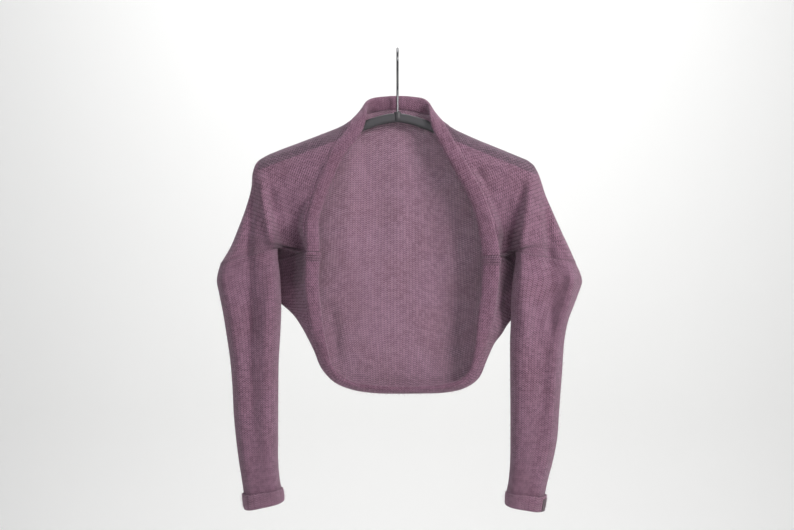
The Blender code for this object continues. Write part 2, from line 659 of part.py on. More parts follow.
def build_hook():
    centre = -HOOK_RADIUS + WIRE_RADIUS
    stem_foot = HUB_TOP - SOCKET_DEPTH + SEAM_GAP
    path = [(0, stem_foot), (0, -80), (0, -66), (-1.5, -56), (-9, -44), (-15.5, -34)]
    for degrees in (205, 180, 155, 130, 110, 90, 70, 50, 25, 0):
        a = math.radians(degrees)
        path.append((HOOK_RADIUS * math.cos(a), centre + HOOK_RADIUS * math.sin(a)))
    path += [(20.5, -26), (24, -33)]
    path = np.array(path, float)
    knots = knots_of(path)
    line = smooth(knots, path, np.linspace(knots[0], knots[-1], 36))
    way = unit(np.gradient(line, axis=0))
    sides = 8
    rings = []
    for point, along in zip(line, way):
        ring = []
        for a in np.linspace(0, 2 * math.pi, sides, endpoint=False):
            side = WIRE_RADIUS * math.cos(a)
            lift = WIRE_RADIUS * math.sin(a)
            ring.append((side, point[0] - along[1] * lift, point[1] + along[0] * lift))
        rings.append(ring)
    return tube("hanger_hook", np.array(rings))


def dress(root):
    """Give each piece its own material and hang it from the hook's top."""
    for name, (colour, roughness, metallic) in FINISHES.items():
        thing = bpy.data.objects[name]
        finish = bpy.data.materials.new(name)
        finish.use_nodes = True
        shader = finish.node_tree.nodes["Principled BSDF"]
        shader.inputs["Base Color"].default_value = (*colour, 1)
        shader.inputs["Roughness"].default_value = roughness
        shader.inputs["Metallic"].default_value = metallic
        thing.data.materials.clear()
        thing.data.materials.append(finish)
        thing.parent = root


def main():
    for thing in list(bpy.data.objects):
        bpy.data.objects.remove(thing)
    build_body()
    marks = BAND.marks
    half = SEAM_GAP / 2 + 0.05
    build_band("hem_band", marks[1] + half, marks[3] - half, 37, 9)
    build_band("collar_band", marks[3] + half - marks[4], marks[1] - half, 45, 9)
    for side, word in ((-1, "left"), (1, "right")):
        build_sleeve("sleeve_" + word, side)
        build_cuff("cuff_" + word, side)
    build_tab()
    build_hanger()
    build_hook()
    root = bpy.data.objects.new("hook_top", None)
    bpy.context.scene.collection.objects.link(root)
    dress(root)


main()
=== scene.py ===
# Knitted shrug with an open front, on a moulded hanger
# Lengths in the guide tables are millimetres and x counts outwards from the middle, the scene is in metres

import math

import bpy
import numpy as np
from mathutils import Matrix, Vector


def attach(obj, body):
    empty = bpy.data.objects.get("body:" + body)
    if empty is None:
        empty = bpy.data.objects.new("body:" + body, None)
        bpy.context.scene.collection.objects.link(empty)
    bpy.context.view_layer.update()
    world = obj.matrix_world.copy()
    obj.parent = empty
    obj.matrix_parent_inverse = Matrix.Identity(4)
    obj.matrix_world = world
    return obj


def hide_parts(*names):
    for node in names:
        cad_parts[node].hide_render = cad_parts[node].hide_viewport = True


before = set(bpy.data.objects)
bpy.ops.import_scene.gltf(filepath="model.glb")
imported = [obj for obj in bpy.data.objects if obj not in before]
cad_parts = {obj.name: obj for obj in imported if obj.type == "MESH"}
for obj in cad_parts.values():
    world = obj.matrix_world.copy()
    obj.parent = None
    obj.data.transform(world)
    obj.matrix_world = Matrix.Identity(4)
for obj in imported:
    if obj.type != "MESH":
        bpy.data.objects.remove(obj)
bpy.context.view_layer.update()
mm = 0.001
cloth = 1.3            # wall of the knit
edgeGap = -3.0         # the body's edge runs this far into the band
sideSeamAt = 0.88      # share of the section where the side seam starts
armHalfHeight = 7.0    # hanger's bar
armHalfThick = 4.0
armClearance = 1.9
wireRadius = 1.75
hookRadius = 19.75
hubTop = -93.0
socketDepth = 10.0
cuffHeight = 21.0
cuffInside = 8.0
cuffStep = 2.6
tabLift = 0.8
tabThick = 0.9
sleeveGap = 0.8
slantGap = 0.75

# The doubled band from the back neck to the side seam, then from the hem's middle up to it
# Each row: x, y, z of its middle line, width, thickness and the direction of its free side
collarTable = {
    -1: (
        (0, 15, -77, 22, 9, 0.0, 0.15, 1.0),
        (22, 14, -78.5, 22, 9, -0.1, 0.0, 1.0),
        (38, 12.5, -81.5, 22, 8.5, -0.45, -0.15, 0.87),
        (49, 7.5, -87, 21, 8, -0.55, -0.2, 0.8),
        (53.5, 0, -94, 21, 8, -0.62, 0.0, 0.75),
        (57, -8.5, -104, 21, 8, -0.75, -0.1, 0.35),
        (61, -12.5, -115, 21, 8.5, -0.9, -0.1, -0.1),
        (68, -14, -128, 21, 9, -0.85, -0.15, -0.5),
        (86.7, -17.5, -152, 21, 9.5, -0.83, -0.05, -0.5),
        (102, -20, -185, 20, 10, -0.865, 0.1, -0.39),
        (115.8, -23.5, -221, 20, 11, -0.915, 0.2, -0.25),
        (125.5, -26, -258, 20, 12, -0.945, 0.25, -0.05),
        (124.5, -28, -303, 21, 12, -0.95, 0.28, 0.0),
    ),
    1: (
        (0, 15, -77, 22, 9, 0.0, 0.15, 1.0),
        (22, 14, -79, 22, 9, -0.1, 0.0, 1.0),
        (38, 12.5, -82.5, 22, 8.5, -0.45, -0.15, 0.87),
        (49.5, 7.5, -89.5, 21, 8, -0.55, -0.2, 0.8),
        (54.5, 0, -97, 21, 8, -0.62, 0.0, 0.75),
        (58, -8.5, -107, 21, 8, -0.75, -0.1, 0.35),
        (62, -12.5, -118, 21, 8.5, -0.9, -0.1, -0.1),
        (68, -14, -129.5, 21, 9, -0.85, -0.15, -0.5),
        (85.5, -17.5, -161, 22, 9.5, -0.83, -0.05, -0.45),
        (99, -20, -187, 22, 10, -0.85, 0.1, -0.4),
        (112.5, -22.5, -212, 23.5, 11, -0.88, 0.2, -0.36),
        (124, -24.5, -240, 24, 12, -0.91, 0.25, -0.26),
        (132, -26.5, -272, 25, 12, -0.93, 0.28, -0.15),
        (138, -28, -309, 26, 12, -0.95, 0.28, -0.05),
    ),
}
hemTable = {
    -1: (
        (0, 4, -510, 22, 11, 0.0, -0.94, 0.34),
        (34, 3, -508.5, 22, 11, -0.03, -0.93, 0.37),
        (68, 1, -503, 21, 11, -0.14, -0.88, 0.45),
        (89.3, -3, -492, 20, 11, -0.37, -0.79, 0.49),
        (105.5, -10, -470, 19, 11, -0.71, -0.62, 0.34),
        (112.5, -16, -444.5, 19, 11, -0.84, -0.47, 0.24),
        (119.6, -22, -410, 20, 11, -0.9, 0.0, 0.19),
        (126.3, -27, -351.5, 21, 12, -0.94, 0.22, 0.03),
        (124.5, -28, -303, 21, 12, -0.95, 0.28, 0.0),
    ),
    1: (
        (0, 4, -510, 22, 11, 0.0, -0.94, 0.34),
        (36, 3, -509.5, 22, 11, -0.03, -0.93, 0.37),
        (71, 1, -507, 21, 11, -0.12, -0.88, 0.45),
        (96.8, -3, -500, 20, 11, -0.3, -0.79, 0.53),
        (112, -9, -486, 20, 11, -0.6, -0.64, 0.5),
        (120, -14, -465, 20, 11, -0.78, -0.55, 0.3),
        (124.5, -19, -440, 21, 11, -0.87, -0.43, 0.15),
        (130.5, -24, -401, 24, 11, -0.93, 0.05, 0.1),
        (135.5, -27, -361.5, 26, 12, -0.93, 0.22, 0.1),
        (138, -28, -309, 26, 12, -0.95, 0.28, -0.05),
    ),
}

# Sections of the body, share 0 at the middle of the back and 1 at the armhole
# Each row: share, then x, y, z of the turn over the shoulder, of the back above the underarm, of the low fold
bodyTable = {
    -1: (
        (0.0, 0, 15, -99, 0, 19, -400, 0, 17, -492),
        (0.14, 52, 14, -108, 56, 19, -398, 47, 17, -488),
        (0.2, 71, 2.5, -111, 78, 19, -395, 66, 16, -484),
        (0.26, 93, 0, -119.6, 102, 19, -390, 85, 15, -479),
        (0.4, 142, 0, -138, 135, 19, -362, 123, 9, -450),
        (0.5, 178, 0, -151.5, 150, 19, -338, 147, 6, -408),
        (0.56, 198.5, 0, -160.5, 156, 19, -321, 158, 8, -394),
        (0.6, 210.5, 0, -169, 160, 19, -309, 169, 12, -385),
        (0.64, 216.3, 0, -183, 163, 19, -298, 180, 16, -376),
        (0.7, 218.3, 0, -205, 166, 20, -289, 187, 18, -361),
        (0.78, 225.8, 0, -234, 172, 21, -283, 188, 18, -338),
        (0.88, 239.4, 0, -271, 180, 22, -282, 187, 17, -314),
        (0.94, 250, 1, -296, 186, 20, -288, 182, 10, -304),
        (1.0, 264.3, 2, -320, 190, 19, -298.5, 180, 3, -296.5),
    ),
    1: (
        (0.0, 0, 15, -99, 0, 19, -400, 0, 17, -492),
        (0.14, 53, 14, -110, 56, 19, -398, 49, 17, -488),
        (0.2, 72, 2.5, -114.5, 78, 19, -395, 69, 16, -485),
        (0.26, 93, 0, -124, 102, 19, -390, 90, 15, -481),
        (0.4, 143, 0, -145.3, 137, 19, -368, 134, 9, -458),
        (0.5, 175, 0, -158, 150, 19, -346, 148, 6, -436),
        (0.56, 197, 0, -168, 155, 19, -330, 158, 8, -424),
        (0.6, 206, 0, -177.5, 158, 19, -319, 165, 11, -413),
        (0.64, 212, 0, -189, 160.5, 19, -305, 176, 16, -400),
        (0.7, 220, 0, -214, 164, 20, -297, 181, 18, -384),
        (0.78, 231, 0, -240.5, 170, 20.5, -291, 184, 18, -356),
        (0.88, 246.5, 1, -275, 178, 21, -290, 184, 17, -322),
        (0.94, 257.5, 3, -297.5, 183.5, 20, -295, 180, 10, -311),
        (1.0, 266.5, 6, -317, 187, 19, -305.5, 177.5, 3, -303.5),
    ),
}
underarm = {-1: (177, -8, -296), 1: (174.5, -8, -303)}
sideSeamDip = {-1: (157, -15, -298.5), 1: (162, -15, -305)}

# Relief of a section, as places along the straight line and the shift from it towards the wall
# Each row: share, four pairs for the front, three pairs for the back, rise of the front folds
reliefTable = (
    (0.0, 0.2, 0, 0.4, 0, 0.6, 0, 0.8, 0, 0.04, 0, 0.15, 0, 0.55, 2, 0),
    (0.14, 0.2, 0, 0.4, 0, 0.6, 0, 0.8, 0, 0.04, 0, 0.15, 1, 0.55, 3, 0),
    (0.2, 0.25, -2.5, 0.5, -4, 0.7, -5, 0.85, -5, 0.03, 6, 0.13, 6, 0.55, 5, 0),
    (0.26, 0.25, -3, 0.5, -4, 0.7, -4.5, 0.86, -4.5, 0.03, 6, 0.14, 7, 0.55, 6, 0),
    (0.4, 0.25, -2.5, 0.5, -4.5, 0.7, -5.3, 0.88, -5, 0.03, 6, 0.15, 8, 0.55, 8, 0),
    (0.52, 0.3, -3, 0.55, -5.6, 0.75, -6.9, 0.9, -5.9, 0.03, 6, 0.15, 9, 0.55, 9, 0),
    (0.62, 0.35, -2.7, 0.8, -9.2, 0.9, -8.1, 0.955, -5.6, 0.05, 6, 0.2, 10, 0.6, 10, 0),
    (0.7, 0.35, -1.5, 0.72, -13.3, 0.9, -11, 0.96, -7.2, 0.07, 7.5, 0.25, 13, 0.65, 10, 0),
    (0.78, 0.35, -1.0, 0.62, -15, 0.86, -12.5, 0.95, -9.9, 0.1, 9.5, 0.3, 16, 0.68, 12, 0),
    (0.88, 0.25, -1, 0.5, -13.5, 0.8, -14, 0.93, -12.3, 0.12, 11, 0.35, 17, 0.7, 12, 0),
    (0.94, 0.16, -5, 0.35, -17, 0.7, -16.5, 0.905, -15.6, 0.11, 12, 0.32, 19.5, 0.7, 13, 6),
    (1.0, 0.06, -9.6, 0.2, -20, 0.6, -19, 0.88, -19, 0.1, 13, 0.3, 22, 0.7, 14, 0),
)
spans = (2, 3, 3, 2, 2, 2, 2, 5, 5, 3, 3, 1)     # steps between the guide points of a section
overShoulder = 5       # spans before the turn over the shoulder
overBack = 9           # spans before the back above the underarm
# Sleeve sections from the armhole to the cuff
# Each row: x, y, z of the outer edge and of the inner edge, y of front and back, place of the valley,
# dip of the front, dip of the back, place of the front ridge
sleeveTable = {
    -1: (
        (273.0, 3, -338, 177, -11, -322, -29, 30, 0.62, 7, 6, 0.86),
        (267.5, 3, -364, 175, -12, -352, -30, 30, 0.6, 8, 6, 0.85),
        (261.5, 3, -394, 174, -12, -382, -30, 29, 0.58, 8, 6, 0.84),
        (255.2, 2, -433, 175.3, -8, -423, -29, 28, 0.56, 7, 5, 0.83),
        (250.5, 1, -465, 178.1, -5, -465, -28, 26, 0.55, 5, 4, 0.82),
        (247.5, 0, -497, 178.8, -3, -495, -27, 25, 0.54, 4, 3, 0.82),
        (244.9, 0, -547, 179.2, -2, -546, -26, 23, 0.53, 3, 2, 0.82),
        (241.3, 0, -585, 179.3, -2, -584, -25, 22, 0.52, 2, 2, 0.82),
        (237.0, 0, -618, 179.3, -2, -614, -24, 20, 0.5, 1, 1, 0.82),
        (232.6, -1, -645, 177.3, -2, -640, -22, 19, 0.5, 0, 0, 0.82),
        (229.6, -1, -666, 174.5, -2, -658, -21, 18, 0.5, 0, 0, 0.82),
        (228.2, -1, -680, 173.4, -2, -667.5, -21, 18, 0.5, 0, 0, 0.82),
    ),
    1: (
        (282.5, 14, -338, 174.5, -11, -328, -29, 30, 0.68, 7, 6, 0.8),
        (274.5, 14, -360, 171.5, -12, -352, -30, 30, 0.66, 8, 6, 0.8),
        (265.5, 13, -383, 169.8, -12, -376, -30, 29, 0.64, 8, 6, 0.82),
        (256.5, 10, -405, 170, -10, -398, -30, 29, 0.62, 8, 6, 0.83),
        (250.6, 5, -433, 168.7, -8, -428, -29, 28, 0.6, 7, 5, 0.83),
        (246.8, 2, -480, 169.0, -4, -478, -28, 26, 0.58, 5, 4, 0.82),
        (242.0, 0, -540, 169.6, -2, -538, -26, 23, 0.55, 3, 2, 0.82),
        (238.5, 0, -585.5, 169.6, -2, -585, -25, 22, 0.52, 2, 2, 0.82),
        (231.5, 0, -620, 169.0, -2, -622, -23, 20, 0.5, 1, 1, 0.82),
        (224.0, -1, -648, 166.5, -2, -648, -22, 19, 0.5, 0, 0, 0.82),
        (219.6, -1, -670, 163.8, -2, -664, -21, 18, 0.5, 0, 0, 0.82),
        (217.5, -1, -682, 164.9, -2, -673, -21, 18, 0.5, 0, 0, 0.82),
    ),
}
# Middle line of the hanger's bar, x from the left tip to the right tip
hangerLine = ((-204, -181), (-199, -173), (-190, -166.2), (-126, -141.3), (-80, -124.2), (-50, -113.6),
              (-25, -105.3), (0, -101.6), (25, -106.3), (50, -115.4), (80, -129), (143, -154.3),
              (190, -173.6), (197, -179), (202, -188))
blendOver = 0.085      # share of the sleeve that leads from the armhole to its own sections
firstRowAt = 0.045     # place of the first sleeve section
sleeveDrop = 22.0
lead = 6.0             # the knit leaves the edging straight for this far
shortLeadTo = 0.25     # share up to which that is halved at the collar
turnFrom = 0.35        # share from which the knit leaves the edging backwards, and how far
turnBack = 0.7
riseParts = (0.6, 1.0, 0.4)
tiny = 1e-6
cuffWall = 1.7
cuffFine = 4           # steps round a cuff for each step of the guide
cuffWales = 36         # stitches round a cuff
endRing = 0.02         # size of a tube's closing ring


def smooth(knots, rows, where):
    knots = np.asarray(knots, float)
    rows = np.asarray(rows, float)
    where = np.clip(np.asarray(where, float), knots[0], knots[-1])
    step = np.diff(knots)
    rise = np.diff(rows, axis=0) / step[:, None]
    slope = np.empty_like(rows)
    slope[0] = rise[0]
    slope[-1] = rise[-1]
    before, after = step[:-1, None], step[1:, None]
    slope[1:-1] = (rise[:-1] * after + rise[1:] * before) / (before + after)
    at = np.clip(np.searchsorted(knots, where, side="right") - 1, 0, len(step) - 1)
    s = ((where - knots[at]) / step[at])[:, None]
    size = step[at][:, None]
    return ((2 * s**3 - 3 * s**2 + 1) * rows[at] + (s**3 - 2 * s**2 + s) * size * slope[at]
            + (3 * s**2 - 2 * s**3) * rows[at + 1] + (s**3 - s**2) * size * slope[at + 1])


def knotsOf(points):
    gaps = np.sqrt(np.maximum(np.linalg.norm(np.diff(points, axis=0), axis=1), tiny))
    return np.concatenate(([0.0], np.cumsum(gaps)))


def through(points, counts):
    points = np.asarray(points, float)
    knots = knotsOf(points)
    where = [knots[0]]
    for i, count in enumerate(counts):
        where.extend(np.linspace(knots[i], knots[i + 1], count + 1)[1:])
    return smooth(knots, points, where)


def unit(vectors):
    return vectors / np.maximum(np.linalg.norm(vectors, axis=-1, keepdims=True), 1e-9)


def runningTotal(steps):
    return np.concatenate(([0.0], np.cumsum(steps)))


def meanSteps(grid, axis):     # mean distance between the rows of points, or between the columns
    return np.linalg.norm(np.diff(grid, axis=axis), axis=2).mean(axis=1 - axis)


def spread(downRows, alongColumns):      # a grid of places from one list for its rows and one for its columns
    return np.dstack((np.repeat(alongColumns[None], len(downRows), axis=0),
                      np.repeat(downRows[:, None], len(alongColumns), axis=1)))


class Band:            # middle line of the edging, one ring from the back neck down the left and up the right
    def __init__(self):
        rows = []
        for side, table, backwards in ((-1, collarTable, False), (-1, hemTable, True), (1, hemTable, False),
                                       (1, collarTable, True)):
            part = [(side * r[0], *r[1:5], side * r[5], *r[6:]) for r in table[side]]
            part = part[::-1] if backwards else part
            rows.extend(part if not rows else part[1:])
        body = np.array(rows, float)[:-1]
        count = len(body)
        rows = np.vstack((body[-3:], body, body[:4]))
        self.knots = knotsOf(rows[:, :3])
        self.rows = rows
        self.where = np.linspace(self.knots[3], self.knots[3 + count], 4001)
        line = smooth(self.knots, rows, self.where)[:, :3]
        self.length = runningTotal(np.linalg.norm(np.diff(line, axis=0), axis=1))
        steps = [len(table) - 1 for table in (collarTable[-1], hemTable[-1], hemTable[1])]
        ends = [*self.knots[3 + np.cumsum([0, *steps])], self.where[-1]]      # back neck, side, hem, side, neck
        self.marks = [float(np.interp(m, self.where, self.length)) for m in ends]

    def at(self, lengths):
        where = np.interp(lengths, self.length, self.where)
        value = smooth(self.knots, self.rows, where)
        tangent = unit(smooth(self.knots, self.rows, where + 0.02)[:, :3]
                       - smooth(self.knots, self.rows, where - 0.02)[:, :3])
        free = value[:, 5:8]
        free = unit(free - tangent * np.sum(free * tangent, axis=1, keepdims=True))
        return value[:, :3], free, np.cross(tangent, free), value[:, 3], value[:, 4]

    def collarLength(self, side, share):
        quarter = self.marks[1] if side < 0 else self.marks[4] - self.marks[3]
        return share * quarter if side < 0 else self.marks[4] - share * quarter

    def hemLength(self, side, share):
        quarter = (self.marks[2] - self.marks[1]) if side < 0 else (self.marks[3] - self.marks[2])
        return self.marks[2] + side * share * quarter

    def free(self, length):
        return self.at(np.array([length]))[1][0]

    def seam(self, length):
        middle, free, _, width, _ = self.at(np.array([length]))
        return (middle - free * (width[:, None] / 2 + edgeGap))[0]


band = Band()
bodyRows = {side: np.array(rows, float) for side, rows in bodyTable.items()}
reliefRows = np.array(reliefTable, float)


def seamLine(side, share):
    start = band.seam(band.marks[1] if side < 0 else band.marks[3])
    dip = np.array(sideSeamDip[side], float) * (side, 1, 1)
    end = np.array(underarm[side], float) * (side, 1, 1)
    return smooth([0, 0.5, 1], [start, dip, end], [share])[0]


def clearOfHanger(points):
    line = np.array(hangerLine, float)
    reach = armHalfThick + armClearance
    a, along = line[:-1], np.diff(line, axis=0)
    flat = points[:, (0, 2)]
    s = np.sum((flat[:, None] - a) * along, axis=2) / np.sum(along**2, axis=1)
    foot = a + along * np.clip(s, 0, 1)[:, :, None]
    gap = np.linalg.norm(flat[:, None] - foot, axis=2)
    best = gap.argmin(axis=1)
    each = np.arange(len(points))
    gap, foot = gap[each, best], foot[each, best]
    beyond = np.maximum(gap - (armHalfHeight - armHalfThick), 0)
    distance = np.hypot(beyond, points[:, 1])
    low = distance < reach
    out = points.copy()
    grow = reach / np.maximum(distance, tiny)
    flatPart = low & (beyond < tiny)
    out[flatPart, 1] = np.where(points[flatPart, 1] < 0, -reach, reach)
    bent = low & ~flatPart
    out[bent, 1] = (points[:, 1] * grow)[bent]
    shift = ((beyond * grow - beyond) / np.maximum(gap, tiny))[bent, None]
    moved = flat[bent] + (flat[bent] - foot[bent]) * shift
    out[bent, 0] = moved[:, 0]
    out[bent, 2] = moved[:, 1]
    return out


def bodySection(side, share, counts):
    mirror = np.array((side, 1, 1), float)
    row = smooth(bodyRows[side][:, 0], bodyRows[side][:, 1:], [share])[0]
    relief = smooth(reliefRows[:, 0], reliefRows[:, 1:], [share])[0]
    top, arm, low = row[0:3] * mirror, row[3:6] * mirror, row[6:9] * mirror
    onBand = share < sideSeamAt
    if onBand:
        collar = band.seam(band.collarLength(side, share / sideSeamAt))
        hem = band.seam(band.hemLength(side, share / sideSeamAt))
    else:
        collar = seamLine(side, (share - sideSeamAt) / (1 - sideSeamAt))
        hem = collar
    front = [collar + (top - collar) * relief[k] + (0, relief[k + 1], 0) for k in (0, 2, 4, 6)]
    back = [top + (arm - top) * relief[k] + (0, relief[k + 1], 0) for k in (8, 10, 12)]
    for k, part in enumerate(riseParts):
        front[k] = front[k] + (0, 0, relief[14] * part)
    start = low + (hem - low) * 0.7
    if onBand:
        turn = np.array((0.0, turnBack * min(max((share - turnFrom) / 0.2, 0.0), 1.0), 0.0))
        start = hem + unit(turn - band.free(band.hemLength(side, share / sideSeamAt))) * (lead + 1)
        reach = (lead if share > shortLeadTo else lead / 2) + 1
        straight = collar + unit(turn - band.free(band.collarLength(side, share / sideSeamAt))) * reach
        front[0] = (front[0] + straight) / 2
    return clearOfHanger(through([collar, *front, top, *back, arm, low, start, hem], counts))


def sleeveRing(row, side, places):
    mirror = np.array((side, 1, 1), float)
    outer, inner = np.array(row[0:3]) * mirror, np.array(row[3:6]) * mirror
    frontY, backY, valley, frontDip, backDip, ridge = row[6:12]

    def across(share, y):
        point = inner + (outer - inner) * share
        point[1] = y
        return point

    points = [inner, across(0.07, frontY * 0.72 + 0.28 * inner[1]), across(0.22, frontY),
              across(valley, frontY + frontDip), across(ridge, frontY * 0.86), outer,
              across(0.9, backY * 0.78), across(0.74, backY), across(0.5, backY - backDip),
              across(0.27, backY * 0.86), across(0.1, backY * 0.4), across(0.04, backY * 0.12), inner]
    loop = [points[-3], points[-2], *points, points[1], points[2]]
    knots = knotsOf(np.array(loop))
    where = np.interp(places, np.linspace(0, 1, len(points)), knots[2:-2])
    return smooth(knots, loop, where)


def sleeveSurface(side, levels, fine):
    counts = [n * fine for n in spans]
    ends = runningTotal(counts) / sum(counts)
    places = np.interp(np.linspace(0, 1, sum(counts) + 1), ends, np.linspace(0, 1, len(counts) + 1))
    armhole = bodySection(side, 1.0, counts)
    onward = unit(armhole - bodySection(side, 0.97, counts))
    down = np.array((side * 0.1, 0, -0.995))
    aligned = np.clip(onward @ down, 0, 1)[:, None]
    first = armhole + onward * (sleeveGap + slantGap * (1 - aligned))
    onward = unit(onward * (aligned + 0.35) + down)
    rows = np.array(sleeveTable[side], float)
    middle = (rows[:, 2] + rows[:, 5]) / 2
    place = firstRowAt + (1 - firstRowAt) * (middle - middle[0]) / (middle[-1] - middle[0])

    def bean(level):
        return sleeveRing(smooth(place, rows, [level])[0], side, places)

    meet = bean(blendOver)
    slope = (bean(blendOver + 0.01) - meet) / 0.01 * blendOver
    begin = onward * sleeveDrop
    rings = []
    for level in levels:
        s = level / blendOver
        if s < 1:
            rings.append((2 * s**3 - 3 * s**2 + 1) * first + (s**3 - 2 * s**2 + s) * begin
                         + (3 * s**2 - 2 * s**3) * meet + (s**3 - s**2) * slope)
        else:
            rings.append(bean(level))
    return np.array(rings)


def stitchMap(grid, zeroAt=0):      # metres across the wales and along the rows for every grid point
    u = runningTotal(meanSteps(grid, 0)) * mm
    step = np.linalg.norm(np.diff(grid, axis=1), axis=2)
    v = np.concatenate((np.zeros((len(grid), 1)), np.cumsum(step, axis=1)), axis=1) * mm
    v = v - v[:, zeroAt:zeroAt + 1]
    return np.dstack((np.repeat(u[:, None], grid.shape[1], axis=1), v))


def gridFaces(grid, uv, closedAround=False, mergeEnds=0):
    rows, columns = grid.shape[:2]
    index = np.arange(rows * columns).reshape(rows, columns)
    if closedAround:
        index[:, -1] = index[:, 0]
    if mergeEnds:
        index[:mergeEnds, -1] = index[:mergeEnds, 0]
        index[rows - mergeEnds:, -1] = index[rows - mergeEnds:, 0]
    faces = np.stack((index[:-1, :-1], index[1:, :-1], index[1:, 1:], index[:-1, 1:]), axis=-1).reshape(-1, 4)
    corners = np.stack((uv[:-1, :-1], uv[1:, :-1], uv[1:, 1:], uv[:-1, 1:]), axis=2).reshape(-1, 4, 2)
    return grid.reshape(-1, 3), faces, corners


def normalsOf(points, faces):
    corner = points[faces]
    area = np.cross(corner[:, 2] - corner[:, 0], corner[:, 3] - corner[:, 1])
    normal = np.zeros_like(points)
    for k in range(4):
        np.add.at(normal, faces[:, k], area)
    return unit(normal)


def makeMesh(name, points, faces, uv, kinds, materials):
    mesh = bpy.data.meshes.new(name)
    mesh.vertices.add(len(points))
    mesh.vertices.foreach_set("co", (points * mm).astype(np.float32).ravel())
    corners = faces.reshape(-1)
    mesh.loops.add(len(corners))
    mesh.loops.foreach_set("vertex_index", corners.astype(np.int32))
    mesh.polygons.add(len(faces))
    mesh.polygons.foreach_set("loop_start", np.arange(len(faces), dtype=np.int32) * faces.shape[1])
    mesh.uv_layers.new(name="stitches")
    mesh.update(calc_edges=True)
    mesh.validate()
    mesh.uv_layers["stitches"].data.foreach_set("uv", uv.reshape(-1).astype(np.float32))
    for material in materials:
        mesh.materials.append(material)
    mesh.polygons.foreach_set("material_index", kinds.astype(np.int32))
    mesh.shade_smooth()
    thing = bpy.data.objects.new(name, mesh)
    bpy.context.scene.collection.objects.link(thing)
    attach(thing, "root")
    return thing


def knitWall(name, grid, uv, thickness, materials, closedAround=False, mergeEnds=0):
    points, faces, corners = gridFaces(grid, uv, closedAround, mergeEnds)
    keep = np.array([len(set(f)) == 4 for f in faces.tolist()])
    faces, corners = faces[keep], corners[keep]
    normal = normalsOf(points, faces)
    total = len(points)
    every = np.vstack((points + normal * thickness / 2, points - normal * thickness / 2))
    edges = {}
    for f, c in zip(faces.tolist(), corners):
        for k in range(4):
            edges[(f[k - 1], f[k])] = (c[k - 1], c[k])
    rim, rimUv = [], []
    for (a, b), (ua, ub) in edges.items():
        if (b, a) not in edges:
            rim.append((b, a, a + total, b + total))
            rimUv.append((ub, ua, ua, ub))
    inner = faces[:, ::-1] + total
    allFaces = [faces, inner]
    allUv = [corners, corners[:, ::-1]]
    kinds = [np.zeros(len(faces)), np.ones(len(faces))]
    if rim:
        allFaces.append(np.array(rim))
        allUv.append(np.array(rimUv))
        kinds.append(np.zeros(len(rim)))
    allFaces = np.vstack(allFaces)
    used = np.zeros(len(every), bool)
    used[allFaces.ravel()] = True
    renumber = np.cumsum(used) - 1
    uvs, kinds = np.concatenate(allUv), np.concatenate(kinds)
    return makeMesh(name, every[used], renumber[allFaces], uvs, kinds, materials)


def tubeGrid(path, radius, sides, up):     # rings along a path, for seams, wire and the hanger
    way = unit(np.gradient(path, axis=0))
    first = unit(np.cross(way, up))
    second = np.cross(first, way)
    a = np.linspace(0, 2 * math.pi, sides + 1)
    radius = np.broadcast_to(radius, (len(path),))[:, None, None]
    return (path[:, None] + first[:, None] * np.cos(a)[None, :, None] * radius
            + second[:, None] * np.sin(a)[None, :, None] * radius)


def capped(grid):      # the end rings drawn in, so that a tube has closed ends
    first, last = grid[:1].mean(axis=1, keepdims=True), grid[-1:].mean(axis=1, keepdims=True)
    return np.concatenate((first + (grid[:1] - first) * endRing, grid, last + (grid[-1:] - last) * endRing))


def tubeMesh(name, grid, material, turns=1.0):
    along = runningTotal(np.linalg.norm(np.diff(grid.mean(axis=1), axis=0), axis=1))
    uv = spread(along * mm, np.linspace(0, 1, grid.shape[1]) * turns)
    points, faces, corners = gridFaces(grid, uv, True)
    return makeMesh(name, points, faces, corners, np.zeros(len(faces)), [material])


def cellSides(grid):
    return grid[1:, :-1] - grid[:-1, :-1], grid[:-1, 1:] - grid[:-1, :-1]


def looseFibres(name, grid, look, material):     # fine hairs that stand off the knit, as tapering ribbons
    rng = np.random.default_rng(look["seed"])
    a, b = cellSides(grid)
    area = np.linalg.norm(np.cross(a, b), axis=2).ravel()
    cell = rng.choice(len(area), look["count"], p=area / area.sum())
    i, j = np.divmod(cell, grid.shape[1] - 1)
    s, t = rng.random((2, look["count"], 1))
    start = grid[i, j] + a[i, j] * s + b[i, j] * t
    normal = unit(np.cross(b[i, j], a[i, j])) * look["outwards"]
    normal = np.where(rng.random((look["count"], 1)) < look["inside"], -normal, normal)
    wander = unit(rng.normal(size=start.shape))
    tangent = unit(np.cross(normal, wander))
    lift = rng.uniform(*look["lift"], (look["count"], 1))
    heading = unit(normal * lift + tangent)
    reach = rng.uniform(*look["reach"], (look["count"], 1))
    bend = unit(rng.normal(size=start.shape)) * 0.5 - normal * 0.25 * lift
    sideways = unit(np.cross(heading, unit(rng.normal(size=start.shape))))
    places = (0.0, 0.35, 0.7, 1.0)
    points = []
    for place in places:
        centre = start + normal * cloth / 2 + (heading * place + bend * place**2 * 0.55) * reach
        half = sideways * look["width"] / 2 * (1 - 0.75 * place)
        points.append(np.stack((centre - half, centre + half), axis=1))
    points = np.stack(points, axis=1).reshape(-1, 3)
    base = np.arange(look["count"])[:, None, None] * 8
    pattern = np.array([(2 * k, 2 * k + 1, 2 * k + 3, 2 * k + 2) for k in range(3)])[None]
    faces = (base + pattern).reshape(-1, 4)
    uv = np.zeros((len(faces), 4, 2))
    return makeMesh(name, points, faces, uv, np.zeros(len(faces)), [material])


